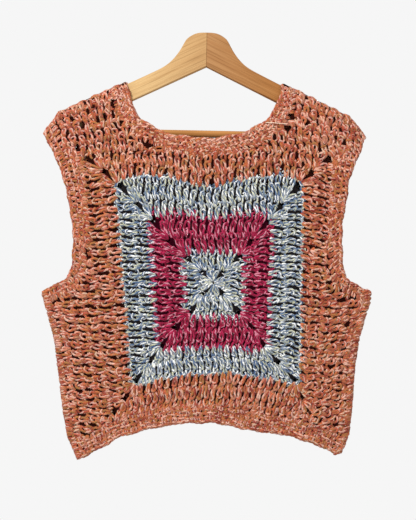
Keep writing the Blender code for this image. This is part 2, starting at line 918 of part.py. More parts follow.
def hanger_outline():
    """The whole hanger seen from the front, level, left turning from the right end."""
    right = list(HEAD_OUTLINE)
    for x in ARM_TOP_PLACES:
        right.append((x, ARM_TOP_AT_CENTRE - x * math.tan(ARM_SLOPE)))
    right += ARM_END_OUTLINE
    for x in ARM_UNDERSIDE_PLACES:
        right.append((x, ARM_UNDERSIDE_AT_CENTRE - x * math.tan(ARM_SLOPE)))
    under_centre = (0.0, ARM_UNDERSIDE_AT_CENTRE - UNDERSIDE_EASE)
    right = [Vector(point) for point in right]
    left = [Vector((-point.x, point.y)) for point in right]
    loop = right + [Vector(under_centre)] + left[::-1]
    return loop[::-1]


def make_hanger_body():
    """The rounded blank of both arms, which a mitre then parts."""
    loop = hanger_outline()
    half = ARM_THICKNESS / 2
    levels = []
    for step in range(ROUNDING_STEPS + 1):
        angle = math.pi / 2 * step / ROUNDING_STEPS
        inset = ARM_ROUNDING * (1 - math.cos(angle))
        depth = half - ARM_ROUNDING + ARM_ROUNDING * math.sin(angle)
        levels.append((inset, depth))
    rings = [(inset, -depth) for inset, depth in reversed(levels)] + levels
    vertices = []
    for inset, depth in rings:
        for point in offset_loop(loop, inset):
            place = tilt(point)
            vertices.append(Vector((place.x, depth, place.y)))
    size = len(loop)
    faces = [list(range(size)), [i + size * (len(rings) - 1) for i in reversed(range(size))]]
    for ring in range(len(rings) - 1):
        for i in range(size):
            after = (i + 1) % size
            faces.append([
                ring * size + after, ring * size + i,
                (ring + 1) * size + i, (ring + 1) * size + after])
    return vertices, faces


def cut_at_mitre(thing, side):
    """Keeps one side of the blank and closes the cut."""
    work = bmesh.new()
    work.from_mesh(thing.data)
    normal = Vector((math.cos(HANGER_TILT), 0, -math.sin(HANGER_TILT))) * side
    cut = bmesh.ops.bisect_plane(
        work, geom=work.verts[:] + work.edges[:] + work.faces[:],
        plane_co=normal * SEAM_GAP / 2, plane_no=normal, clear_inner=True)
    rim = [item for item in cut["geom_cut"] if isinstance(item, bmesh.types.BMEdge)]
    bmesh.ops.contextual_create(work, geom=rim)
    bmesh.ops.recalc_face_normals(work, faces=work.faces)
    work.to_mesh(thing.data)
    work.free()


def bar_matrix():
    place = tilt((0.0, BAR_HEIGHT))
    turn = Matrix.Rotation(HANGER_TILT, 4, "Y") @ Matrix.Rotation(math.pi / 2, 4, "Y")
    return Matrix.Translation((place.x, 0, place.y)) @ turn


def make_rod(name, radius, half_length, material):
    mesh = bpy.data.meshes.new(name)
    work = bmesh.new()
    bmesh.ops.create_cone(
        work, cap_ends=True, segments=BAR_SIDES, radius1=radius, radius2=radius,
        depth=half_length * 2, matrix=bar_matrix())
    work.to_mesh(mesh)
    work.free()
    mesh.shade_smooth()
    mesh.set_sharp_from_angle(angle=math.radians(50))
    mesh.materials.append(material)
    rod = bpy.data.objects.new(name, mesh)
    bpy.context.scene.collection.objects.link(rod)
    return rod


def make_hanger():
    left_wood = make_material("left_wood", LEFT_WOOD)
    right_wood = make_material("right_wood", RIGHT_WOOD)
    cutter = make_rod(
        "bar_pocket_cutter", BAR_RADIUS + POCKET_CLEARANCE,
        BAR_HALF_LENGTH + POCKET_CLEARANCE, left_wood)
    cutter.hide_render = True
    cutter.display_type = "WIRE"
    for side, name, wood in (
        (-1, "hanger_left_arm", left_wood),
        (1, "hanger_right_arm", right_wood),
    ):
        vertices, faces = make_hanger_body()
        arm = add_object(name, vertices, faces, wood, math.radians(40))
        cut_at_mitre(arm, side)
        pocket = arm.modifiers.new("bar_pocket", "BOOLEAN")
        pocket.operation = "DIFFERENCE"
        pocket.solver = "EXACT"
        pocket.object = cutter
    make_rod("hanger_bar", BAR_RADIUS, BAR_HALF_LENGTH, left_wood)


def main():
    remove_old_objects()
    materials = {name: make_material(f"{name}_yarn", look) for name, look in YARNS.items()}
    for panel in ("front", "back"):
        make_panel(panel, materials)
    make_edgings(materials)
    make_hanger()


main()
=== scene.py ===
"""Looks of the crochet vest on its wooden hanger.

Every stitch is real yarn: a path of points laid out in the flat cut of a panel, then
draped onto the hanging form and swept into a plied strand. Under the stitches a thin
dark sheet of painted shade follows the solids, so the small gaps between strands stay dark.
"""

import itertools
import math

import bmesh
import bpy
import numpy as np
from mathutils import Matrix, Vector


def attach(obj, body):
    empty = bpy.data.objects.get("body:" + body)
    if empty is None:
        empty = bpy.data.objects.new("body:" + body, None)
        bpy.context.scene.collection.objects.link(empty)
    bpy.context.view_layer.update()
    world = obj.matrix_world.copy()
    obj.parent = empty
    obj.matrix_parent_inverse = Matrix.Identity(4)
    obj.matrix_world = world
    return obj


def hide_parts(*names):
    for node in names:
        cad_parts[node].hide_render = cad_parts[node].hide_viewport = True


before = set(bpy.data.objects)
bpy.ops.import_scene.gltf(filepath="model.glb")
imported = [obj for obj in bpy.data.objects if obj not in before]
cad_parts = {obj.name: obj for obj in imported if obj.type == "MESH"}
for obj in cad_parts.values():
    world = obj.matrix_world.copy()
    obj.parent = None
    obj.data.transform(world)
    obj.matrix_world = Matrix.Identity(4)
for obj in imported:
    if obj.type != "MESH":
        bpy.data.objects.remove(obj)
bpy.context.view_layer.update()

BODY = "root"
SEED = 11

# Sizes of the hanging form, in metres, as in the solids

WALL = 0.005
REST_GAP = 0.0009
BODY_DEPTH = 0.012
SIDE_RADIUS = 0.0035
SIDE_RUN = 0.05
SHOULDER_RUN = 0.09
TIP_RUN = 0.024
ARM_THICKNESS = 0.012
ARM_SLOPE = math.radians(25.75)
HANGER_TILT = math.radians(1.15)
ARM_TOP_AT_CENTRE = -0.0212
ARM_UNDERSIDE_AT_CENTRE = -0.0476
ARM_END = 0.203
BEND_SPACING = 0.006
OVER_ARM = ARM_THICKNESS / 2 + REST_GAP + WALL / 2
SIDE_TURN = SIDE_RADIUS * math.pi / 2
ARMPIT_HEIGHT = -0.364
HEM_CORNERS = -0.595
NECK_LEFT = -0.112
NECK_RIGHT = 0.105
NECK_EDGING = 0.024
ARMHOLE_EDGING = 0.017
HEM_EDGING = 0.024

# Middle of the wall at the shoulders' tips
SHOULDER_TIPS = {
    # across, height, from the tip inwards
    -1: [(-0.229, -0.1415), (-0.2206, -0.13), (-0.212, -0.119)],
    1: [(0.222, -0.147), (0.2136, -0.136), (0.205, -0.1245)],
}

ARMHOLES = [
    # height, left, right
    (-0.165, -0.217, 0.216),
    (-0.196, -0.204, 0.203),
    (-0.23, -0.195, 0.196),
    (-0.274, -0.189, 0.19),
    (-0.308, -0.188, 0.189),
    (-0.328, -0.189, 0.19),
    (-0.342, -0.196, 0.195),
    (-0.353, -0.212, 0.21),
]

SIDES = [
    # height, left, right
    (-0.595, -0.184, 0.186),
    (-0.566, -0.196, 0.199),
    (-0.532, -0.202, 0.203),
    (-0.498, -0.206, 0.2055),
    (-0.465, -0.21, 0.208),
    (-0.431, -0.2145, 0.2135),
    (-0.398, -0.223, 0.2225),
    (-0.381, -0.228, 0.2285),
    (-0.364, -0.232, 0.231),
    (-0.3, -0.258, 0.258),
    (-0.1, -0.27, 0.27),
]

NECK = [
    # across, height
    (-0.1025, -0.101), (-0.098, -0.112), (-0.088, -0.123), (-0.067, -0.135),
    (-0.045, -0.143), (0.0, -0.148), (0.045, -0.142), (0.063, -0.135),
    (0.08, -0.124), (0.09, -0.112), (0.097, -0.101),
]

HEM = [
    # across, height
    (-0.157, -0.588), (-0.139, -0.5775), (-0.118, -0.567), (-0.073, -0.555),
    (-0.035, -0.5485), (0.005, -0.5465), (0.038, -0.5535), (0.075, -0.56),
    (0.112, -0.5665), (0.15, -0.577),
]

ROUNDS = [
    # top left, top right, bottom left, bottom right, top, bottom,
    # rise of the top beside its corners, dip at its middle, rise of the bottom
    (-0.0154, 0.0308, -0.0126, 0.0308, -0.3269, -0.3759, 0.0, 0.0, 0.0),
    (-0.0364, 0.0532, -0.0308, 0.0518, -0.3052, -0.4011, 0.0, 0.0, 0.0014),
    (-0.0616, 0.07, -0.0518, 0.0728, -0.2814, -0.4235, 0.002, 0.0034, 0.0035),
    (-0.0826, 0.0938, -0.07, 0.0868, -0.2548, -0.4487, 0.0042, 0.0084, 0.0063),
    (-0.1064, 0.112, -0.0868, 0.1078, -0.2317, -0.4718, 0.006, 0.015, 0.0119),
    (-0.1288, 0.1344, -0.105, 0.1302, -0.2072, -0.497, 0.0084, 0.0168, 0.0196),
    (-0.1512, 0.1554, -0.1204, 0.1386, -0.1869, -0.5229, 0.0084, 0.0154, 0.0238),
    (-0.1764, 0.1778, -0.1372, 0.1498, -0.1701, -0.5418, 0.0084, 0.01, 0.021),
]
SQUARE_CENTRE = np.array([0.0084, -0.3514])
RISE_RUN = 0.16
DIP_HALF_WIDTH = 0.2
CORNER_HOLE_INSET = np.array([0.0062, 0.0078])
SIDE_ROWS = 4
SHOULDER_ROWS = 5
EDGING_ROW = 0.0062

OPENINGS = [
    # across, height, half width of a slack place between the front's stitches
    (-0.118, -0.1265, 0.002),
    (-0.1294, -0.13, 0.001),
    (-0.1428, -0.1178, 0.0015),
    (-0.154, -0.121, 0.0011),
    (-0.1752, -0.1312, 0.0012),
    (-0.1935, -0.1432, 0.0012),
    (-0.18, -0.165, 0.0005),
    (-0.1052, -0.1518, 0.0012),
    (-0.093, -0.1528, 0.0005),
    (-0.079, -0.1586, 0.0002),
    (-0.066, -0.163, 0.0009),
    (-0.1572, -0.174, 0.001),
    (-0.1386, -0.185, 0.0011),
    (0.113, -0.134, 0.0032),
    (0.117, -0.119, 0.0004),
    (0.1386, -0.1299, 0.0016),
    (0.1386, -0.1398, 0.0014),
    (0.1054, -0.148, 0.0017),
    (0.0956, -0.1488, 0.0013),
    (0.1165, -0.1505, 0.001),
    (0.1803, -0.1478, 0.0006),
    (0.1884, -0.1558, 0.0007),
    (0.1345, -0.1845, 0.0014),
    (0.1904, -0.3766, 0.002),
    (0.1568, -0.5432, 0.0012),
]

FOLDS = {
    "front": [
        # across, height, half width, half height, depth
        (0.004, -0.515, 0.05, 0.1, 0.005),
        (0.095, -0.55, 0.036, 0.08, -0.0035),
        (-0.095, -0.55, 0.04, 0.08, -0.002),
        (-0.1, -0.245, 0.06, 0.05, 0.002),
        (0.11, -0.25, 0.06, 0.05, 0.0015),
    ],
    "back": [
        # across, height, half width, half height, depth
        (-0.03, -0.515, 0.055, 0.1, 0.004),
        (0.085, -0.545, 0.04, 0.08, -0.0025),
        (-0.115, -0.55, 0.036, 0.08, -0.0025),
        (0.02, -0.23, 0.09, 0.045, 0.002),
    ],
}

# Yarn and stitches

YARN_RADIUS = 0.0019
YARN_SIDES = 5
STITCH_DEPTH = 0.0019
STITCH_PITCH = 0.0117
EDGING_PITCH = 0.0074
RIM_CHAIN_PITCH = 0.007
RIM_CHAIN_INNER = 0.0022
RIM_CHAIN_OUTER = 0.0014
RIM_CHAIN_DEPTH = 1.2
RIM_INSET = 0.003
OPENING_REACH = 0.0095
TIED_FROM = 0.0014
SEAM_HALF_WIDTH = 0.0054
SEAM_END_GAP = 0.006
SHOULDER_SEAM_DEPTH = 0.8
SIDE_SEAM_DEPTH = 1.1
SIDE_SEAM_RISE = 0.001
SIDE_SEAM_CLEARANCE = 0.002
SEAM_KNOTS = 0.0009
LEAN = -0.18
WANDER = 0.0007
DROOP = 0.04
JUMBLE = 0.025
CORAL_JUMBLE = 0.056
CORAL_RADIUS = 0.0021
RIM_SMOOTHING = 10
SHOULDER_EASE = 0.0006
SHOULDER_EASE_RUN = 0.022
NECK_EASE = 0.0014
NECK_EASE_RUN = 0.024
HEM_CORNER_PLACES = [
    # across, height, radius
    (-0.178, -0.6005, 0.006),
    (0.186, -0.595, 0.012),
]
HEM_CORNER_RUN = (0.894, 0.447)
DRAPE_STEP = 0.0002
NEAR_MIDDLE = 0.0001
SEAM_SEARCH = 0.06
END_CLEARANCE = 0.12
LEAST_WIDTH = 0.97
TINY = 1e-6
PATH_SHAPE = np.array([1.0, 2.0, 0.35])
EASED_DEPTH = 0.45

# How many points the dense lines have
EDGE_SAMPLES = 300
SIDE_SAMPLES = 121
ARMHOLE_SAMPLES = 200
SQUARE_SAMPLES = 60
SQUARE_LOOP_SAMPLES = 40
AREA_SAMPLES = 30
SHOULDER_SEAM_SAMPLES = 120
SIDE_SEAM_SAMPLES = 160

# How unevenly the stitches are made
LEAN_SPREAD = 0.08
LIFT_SPREAD = 0.26
SWELL_SPREAD = 0.07
REACH_SPREAD = 0.03
PITCH_SPREAD = 0.09
ALOFT_SHARE = 0.6
KNOTS = [
    # waves along the shoulder seam, start, part
    (390, 0.6, 1.0),
    (247, 2.2, 0.6),
]
DRIFTS = [
    # waves across, waves up, start; two for the drift across and two for the drift up
    (190, 70, 0.4),
    (-60, 230, 2.1),
    (210, -90, 1.3),
    (110, 170, 4.0),
]

# Shares of a stitch's height where its place is looked at, and how many have to be free
FREE_SHARES = np.linspace(0.05, 0.95, 10)
FREE_MARGIN = 0.05
FEWEST_FREE = 5


# Drape: points of the flat cut go to their places on the hanging form

def smoothstep(value):
    value = np.clip(value, 0.0, 1.0)
    return value * value * (3.0 - 2.0 * value)


def tilt(x, z):
    return np.array([
        x * math.cos(HANGER_TILT) + z * math.sin(HANGER_TILT),
        z * math.cos(HANGER_TILT) - x * math.sin(HANGER_TILT),
    ])


def arm_top(x):
    side = -1.0 if x < 0 else 1.0
    inner, outer = (
        tilt(side * along, ARM_TOP_AT_CENTRE - along * math.tan(ARM_SLOPE))
        for along in (0.0, ARM_END)
    )
    return inner[1] + (outer[1] - inner[1]) * (x - inner[0]) / (outer[0] - inner[0])


def shoulder_rows_table():
    """Across and height of the wall's middle along both shoulders, left to right."""
    rows = []
    for side in (-1, 1):
        rise = (WALL / 2 + REST_GAP) / math.cos(ARM_SLOPE + side * HANGER_TILT)
        bend = side * (abs(SHOULDER_TIPS[side][-1][0]) - BEND_SPACING)
        near = side * NEAR_MIDDLE
        rows += SHOULDER_TIPS[side]
        rows += [(bend, arm_top(bend) + rise), (near, arm_top(near) + rise)]
    return np.array(sorted(rows))


SHOULDER_MIDDLE = shoulder_rows_table()


def shoulder_middle(x):
    return np.interp(x, SHOULDER_MIDDLE[:, 0], SHOULDER_MIDDLE[:, 1])


def shoulder_tip(x):
    return np.where(x < 0, abs(SHOULDER_TIPS[-1][0][0]), abs(SHOULDER_TIPS[1][0][0]))


def shoulder_radius(x):
    inner = smoothstep((shoulder_tip(x) - np.abs(x)) / TIP_RUN)
    return SIDE_RADIUS + (OVER_ARM - SIDE_RADIUS) * inner


def shoulder_seam(x):
    return shoulder_middle(x) + (math.pi / 2 - 1) * shoulder_radius(x)


def side_axis(side, height):
    heights, *sides = np.array(SIDES).T
    left, right = (np.interp(height, heights, column) for column in sides)
    return np.where(side < 0, left, right) - side * (WALL / 2 + SIDE_RADIUS)


def side_seam(side, height):
    return side_axis(side, height) + side * SIDE_TURN


def drape(flat, panel):
    """Places on the middle of a panel's wall, for rows of across and height."""
    x, height = flat[:, 0], flat[:, 1]
    side = np.where(x < 0, -1.0, 1.0)
    turn_x = side_axis(side, height)
    past_side = side * (x - turn_x)
    body_share = smoothstep(-past_side / SIDE_RUN)
    body = SIDE_RADIUS + (BODY_DEPTH - SIDE_RADIUS) * body_share
    for fold_x, fold_height, half_width, half_height, amount in FOLDS[panel]:
        across = (x - fold_x) / half_width
        along = (height - fold_height) / half_height
        body = body + amount * np.exp(-across * across - along * along) * body_share
    radius = shoulder_radius(x)
    turn_height = shoulder_middle(x) - radius
    drop = turn_height - height
    depth = radius + (body - radius) * smoothstep(drop / SHOULDER_RUN)
    side_angle = np.maximum(past_side, 0.0) / SIDE_RADIUS
    top_angle = np.maximum(-drop, 0.0) / radius
    world_x = np.where(past_side > 0, turn_x + side * SIDE_RADIUS * np.sin(side_angle), x)
    world_z = np.where(drop < 0, turn_height + radius * np.sin(top_angle), height)
    depth = depth * np.cos(side_angle) * np.cos(top_angle)
    facing = 1.0 if panel == "back" else -1.0
    return np.stack([world_x, facing * depth, world_z], axis=1)


def drape_out(flat, out, panel):
    """Places at a distance out of the wall's middle."""
    across, along = (
        drape(flat + step, panel) - drape(flat - step, panel)
        for step in (np.array([DRAPE_STEP, 0.0]), np.array([0.0, DRAPE_STEP])))
    normal = np.cross(across, along)
    if panel == "back":
        normal = -normal
    return drape(flat, panel) + unit(normal) * out[:, None]


# Lines in the flat cut

def unit(rows):
    """The rows as directions of length one."""
    return rows / np.linalg.norm(rows, axis=1)[:, None]


def pairs(across, heights):
    return np.stack([across, heights], axis=1)


def evenly(count):
    """Shares from the start to the end, evenly apart."""
    return np.linspace(0, 1, count)


def smooth_line(points, samples=10):
    """A dense line through all the points, with an even flow at each."""
    points = np.array(points, dtype=float)
    ends = 2 * points[:1] - points[1:2], 2 * points[-1:] - points[-2:-1]
    padded = np.concatenate([ends[0], points, ends[1]])
    t = (np.arange(samples) / samples)[:, None]
    line = []
    for before, start, end, after in zip(padded, padded[1:], padded[2:], padded[3:]):
        line.append(0.5 * (
            2 * start + (end - before) * t
            + (2 * before - 5 * start + 4 * end - after) * t ** 2
            + (3 * start - before - 3 * end + after) * t ** 3
        ))
    return np.concatenate(line + [points[-1:]])


def line_lengths(line):
    return np.concatenate([[0.0], np.cumsum(np.linalg.norm(np.diff(line, axis=0), axis=1))])


def read_off(line, lengths, stops):
    """Points of a line at these lengths along it."""
    return np.stack([np.interp(stops, lengths, column) for column in line.T], axis=-1)


def at_share(line, share):
    """Points at shares of a line's length."""
    lengths = line_lengths(line)
    return read_off(line, lengths, np.clip(share, 0.0, 1.0) * lengths[-1])


def offset_line(line, distance):
    """The line moved to its left."""
    run = np.gradient(line, axis=0)
    return line + unit(pairs(-run[:, 1], run[:, 0])) * distance


def nearest_distance(point, line):
    return np.min(np.linalg.norm(line - point, axis=1))


def seam_place(seam, start, run, line, distance):
    """The first place along a seam that is this far from a line."""
    for value in np.linspace(start, start + run, EDGE_SAMPLES):
        point = seam(value)
        if nearest_distance(point, line) >= distance:
            break
    return point


def on_shoulder(x):
    return np.array([x, float(shoulder_seam(np.array(x)))])


def on_side(side):
    return lambda height: np.array([float(side_seam(side, np.array(height))), height])


def strip(points, width, side, seams):
    """The two long edges of a strip, from one seam to the other, as dense lines."""
    line = at_share(smooth_line(points), evenly(EDGE_SAMPLES))
    ends = [seam_place(*seam, line, width) for seam in seams]
    clear = [
        point for point in offset_line(line, side * width)
        if min(np.linalg.norm(point - end) for end in ends) > width * END_CLEARANCE
        and nearest_distance(point, line) > width * LEAST_WIDTH
    ]
    return line, at_share(np.array([ends[0]] + clear + [ends[1]]), evenly(EDGE_SAMPLES))


def neck_strip():
    ends = [on_shoulder(NECK_LEFT), on_shoulder(NECK_RIGHT)]
    return strip([ends[0]] + NECK + [ends[1]], NECK_EDGING, -1, [
        (on_shoulder, NECK_LEFT, -SEAM_SEARCH),
        (on_shoulder, NECK_RIGHT, SEAM_SEARCH),
    ])


def armhole_strip(side):
    tip_x = SHOULDER_TIPS[side][0][0]
    points = [on_shoulder(tip_x)]
    points += [(row[1 if side < 0 else 2], row[0]) for row in ARMHOLES]
    points.append(on_side(side)(ARMPIT_HEIGHT))
    return strip(points, ARMHOLE_EDGING, -side, [
        (on_shoulder, tip_x, -side * SEAM_SEARCH),
        (on_side(side), ARMPIT_HEIGHT, -SEAM_SEARCH),
    ])


def hem_strip():
    ends = [on_side(side)(HEM_CORNERS) for side in (-1, 1)]
    return strip([ends[0]] + HEM + [ends[1]], HEM_EDGING, 1, [
        (on_side(side), HEM_CORNERS, SEAM_SEARCH) for side in (-1, 1)])


# Stitches as yarn paths: across the stitch, up the stitch, out of the cloth

def yarn_path(points, count):
    """A smooth path through the points, with this many points evenly along it."""
    points = np.array(points, dtype=float)
    lengths = line_lengths(smooth_line(points * PATH_SHAPE, samples=8))
    return read_off(
        smooth_line(points, samples=8), lengths, np.linspace(0, lengths[-1], count))


TALL_STITCH = [
    # The right leg, wrapped once across the front of the post
    yarn_path([
        (0.08, -0.23, 0.2), (0.09, -0.13, 1.5), (0.15, 0.06, 1.3), (0.26, 0.3, 0.9),
        (0.22, 0.5, 0.9), (0.04, 0.6, 1.3), (-0.16, 0.54, 1.2), (-0.3, 0.42, 0.3),
        (-0.2, 0.34, -0.7),
    ], 11),
    # The left leg, which comes out above the wrap
    yarn_path([
        (-0.1, -0.23, 0.2), (-0.1, -0.12, 1.5), (-0.16, 0.08, 1.3), (-0.22, 0.28, 0.9),
        (-0.12, 0.44, 0.4), (0.16, 0.6, -0.2), (0.28, 0.72, 0.6), (0.18, 0.88, 1.0),
        (-0.04, 0.98, 0.8), (-0.26, 0.98, 0.0),
    ], 12),
    # The upper loop, which ends in the slanted chain along the row's top
    yarn_path([
        (0.06, 0.46, -0.5), (-0.18, 0.58, 0.5), (-0.26, 0.74, 1.0), (-0.24, 0.92, 0.9),
        (-0.06, 1.04, 0.9), (0.22, 1.02, 0.9), (0.5, 0.93, 0.8), (0.74, 0.9, 0.1),
        (0.7, 1.0, -0.6), (0.44, 1.12, 0.3), (0.12, 1.18, 0.5), (-0.22, 1.12, -0.2),
    ], 15),
]

SHORT_STITCH = [
    # A low stitch of the edgings
    yarn_path([
        (0.1, -0.26, 0.1), (0.16, -0.12, 1.2), (0.22, 0.2, 1.0), (0.14, 0.55, 0.9),
        (-0.12, 0.84, 0.9), (-0.4, 0.98, 0.5), (-0.6, 1.02, -0.3), (-0.36, 1.06, -0.9),
        (0.06, 1.04, -0.8),
    ], 10),
    yarn_path([
        (-0.1, -0.26, 0.1), (-0.18, -0.1, 1.2), (-0.22, 0.24, 1.0), (-0.06, 0.58, 1.0),
        (0.24, 0.86, 1.0), (0.54, 0.98, 0.4),
    ], 8),
]

EDGING_STITCH = SHORT_STITCH + [
    # The slanted chain along the row's top
    yarn_path([
        (-0.62, 0.86, -0.3), (-0.34, 0.74, 0.9), (0.06, 0.8, 1.4), (0.46, 0.98, 1.0),
        (0.7, 1.06, -0.2),
    ], 7),
]

CHAIN_STITCH = [
    yarn_path([
        (-0.6, 0.3, -0.3), (-0.3, 0.1, 0.6), (0.1, 0.15, 0.9), (0.5, 0.42, 0.6),
        (0.72, 0.55, -0.1), (0.5, 0.75, -0.5), (0.0, 0.9, 0.3), (-0.45, 0.75, 0.5),
    ], 9),
]


def round_hem_corners(places):
    """Rounds the two lower corners, for rows of across and height."""
    for x, height, radius in HEM_CORNER_PLACES:
        side = 1.0 if x > 0 else -1.0
        outward = np.array([side * HEM_CORNER_RUN[0], -HEM_CORNER_RUN[1]])
        down = np.array([-side * HEM_CORNER_RUN[1], -HEM_CORNER_RUN[0]])
        centre = np.array([x, height]) - (outward + down) * radius
        u = (places - centre) @ outward
        v = (places - centre) @ down
        near = (u > TINY) & (v > TINY)
        shrink = np.maximum(u[near], v[near]) / np.hypot(u[near], v[near])
        places[near] = centre + (places[near] - centre) * shrink[:, None]
    return places


def wander(flat):
    """Small slow drifts of the rows, as hand tension gives them."""
    waves = [
        np.sin(flat[:, 0] * across + flat[:, 1] * up + start) for across, up, start in DRIFTS]
    return pairs(waves[0] + waves[1], waves[2] + waves[3]) * WANDER


def open_slack(flat):
    """Draws the yarn back from the slack places between stitches."""
    for x, height, half_width in OPENINGS:
        offset = flat - np.array([x, height])
        reach = np.linalg.norm(offset, axis=1)
        near = (reach < OPENING_REACH) & (reach > TINY)
        clear = half_width + YARN_RADIUS
        moved = clear + reach[near] * (1 - clear / OPENING_REACH)
        flat[near] += offset[near] * (moved / reach[near] - 1)[:, None]
    return flat


def ease_on_shoulders(flat, out):
    """The yarn lies flatter where the cloth's weight pulls it onto the hanger."""
    x = flat[:, 0]
    share = smoothstep((shoulder_seam(x) - flat[:, 1]) / SHOULDER_EASE_RUN)
    knots = sum(part * np.sin(x * wave + start) for wave, start, part in KNOTS)
    inner = smoothstep((shoulder_tip(x) - np.abs(x)) / TIP_RUN)
    neck = np.where(x < 0, -NECK_LEFT, NECK_RIGHT)
    outer = smoothstep((np.abs(x) - neck) / NECK_EASE_RUN)
    shift = (SEAM_KNOTS * knots * outer - SHOULDER_EASE - NECK_EASE * (1 - outer)) * inner
    return out * (EASED_DEPTH + (1 - EASED_DEPTH) * share) + shift * (1 - share)


class Yarn:
    """Gathers the yarn paths of one area's stitches in the flat cut and drapes them."""

    def __init__(self, panel, seed, jumble=JUMBLE):
        self.panel = panel
        self.jumble = jumble
        self.random = np.random.default_rng(seed)
        self.paths = []
        self.shades = []

    def stitch(self, paths, low, high, depth=1.0):
        """One stitch between its two feet and its two shoulders in the flat cut."""
        lean = self.random.normal(LEAN, LEAN_SPREAD)
        lift = self.random.normal(0.0, LIFT_SPREAD) / 2
        swell = self.random.normal(1.0, SWELL_SPREAD)
        reach = self.random.normal(1.0, REACH_SPREAD)
        low, high = np.asarray(low), np.asarray(high)
        middle = (low[0] + low[1] + high[0] + high[1])[0] / 4
        for path in paths:
            shade = self.random.random()
            aside, aloft = self.random.normal(0.0, self.jumble, 2)
            u = path[:, 0] * swell + lean * (path[:, 1] - 0.5) + 0.5 + aside
            v = path[:, 1] * reach + aloft * ALOFT_SHARE
            u, v = u[:, None], v[:, None]
            flat = (low[0] * (1 - u) + low[1] * u) * (1 - v)
            flat = flat + (high[0] * (1 - u) + high[1] * u) * v
            flat[:, 1] -= DROOP * (flat[:, 0] - middle) * np.sign(middle)
            out = (path[:, 2] * depth + lift) * STITCH_DEPTH
            flat = round_hem_corners(flat + wander(flat))
            if self.panel == "front":
                flat = open_slack(flat)
            self.paths.append(np.column_stack([flat, ease_on_shoulders(flat, out)]))
            self.shades.append(shade)

    def row(self, paths, low, high, pitch, depth=1.0, inside=None):
        """A row of stitches between two lines that run the same way.

        inside says whether a place is free for these stitches. A stitch that crosses the
        boundary is made shorter, and one that keeps too little of its height is left out.
        """
        length = (line_lengths(low)[-1] + line_lengths(high)[-1]) / 2
        count = max(1, round(length / pitch))
        stops = evenly(count + 1)
        if count > 1:
            stops[1:-1] += self.random.normal(0.0, PITCH_SPREAD / count, count - 1)
        feet, tops = at_share(low, stops), at_share(high, stops)
        for index in range(count):
            foot, top = feet[index:index + 2], tops[index:index + 2]
            if inside is not None:
                rise = (top - foot).mean(axis=0)
                free = [
                    share for share in FREE_SHARES if inside(foot.mean(axis=0) + rise * share)]
                if len(free) < FEWEST_FREE:
                    continue
                first, last = free[0] - FREE_MARGIN, free[-1] + FREE_MARGIN
                foot, top = foot + (top - foot) * first, foot + (top - foot) * last
            self.stitch(paths, foot, top, depth)

    def chain(self, line, inner, outer, pitch):
        """Chain stitches along a line, from this far on its left to this far."""
        self.row(CHAIN_STITCH, offset_line(line, inner), offset_line(line, outer), pitch)

    def mesh(self, name):
        """The draped paths, as edges from point to point."""
        points = np.concatenate(self.paths)
        places = drape_out(points[:, :2], points[:, 2], self.panel)
        sizes = [len(path) for path in self.paths]
        index = np.delete(np.arange(len(points) - 1), np.cumsum(sizes)[:-1] - 1)
        mesh = bpy.data.meshes.new(name)
        mesh.from_pydata(places.tolist(), pairs(index, index + 1).tolist(), [])
        shade = mesh.attributes.new("shade", "FLOAT", "POINT")
        shade.data.foreach_set("value", np.repeat(self.shades, sizes).astype(np.float32))
        return mesh


# Where the stitches go

def round_corner(index, corner):
    left, right, low_left, low_right, top, bottom = ROUNDS[index][:6]
    return np.array([(low_left, bottom), (low_right, bottom), (right, top), (left, top)][corner])


def round_line(index, side, shares):
    """Points on one bowed side of a round, left turning from the bottom left corner."""
    start, end = round_corner(index, side), round_corner(index, (side + 1) % 4)
    shares = np.asarray(shares, dtype=float)[:, None]
    line = start * (1 - shares) + end * shares
    rise, dip, bottom_rise = ROUNDS[index][6:]
    if side == 0:
        line[:, 1:] += bottom_rise * 4 * shares * (1 - shares)
    if side == 2:
        line[:, 1:] += rise * smoothstep(shares / RISE_RUN) * smoothstep((1 - shares) / RISE_RUN)
        line[:, 1:] -= dip * np.exp(-((shares - 0.5) / DIP_HALF_WIDTH) ** 2)
    return line


def corner_space(index, corner):
    inward = np.array([(1, 1), (-1, 1), (-1, -1), (1, -1)][corner])
    return round_corner(index, corner) + CORNER_HOLE_INSET * inward


CORNER_PART = 0.75
FAN_STITCHES = 2
FAN_REACH = {"front": 0.0072, "back": 0.0046}
FAN_WIDTH = 0.0075
CHAIN_PITCH = 0.0075
CHAIN_INNER = 0.003
CHAIN_OUTER = 0.001
TIE_PITCH = 0.009
TIE_HALF_WIDTH = 0.0015
TIE_HALF_LENGTH = 0.007
TIE_LEVEL = 0.0022
FIRST_CORAL_ROUND = 6
LAST_ROUND = 7
CORAL_FOOT_CLEARANCE = 0.13


def fan_foot(yarn, hub, centre, top):
    """The foot of a corner stitch, which points from the corner space to its top."""
    reach = centre - hub
    reach /= np.linalg.norm(reach)
    across = top[1] - top[0]
    across = across - reach * across.dot(reach)
    across *= FAN_WIDTH / 2 / np.linalg.norm(across)
    base = hub + reach * FAN_REACH[yarn.panel]
    return base - across, base + across


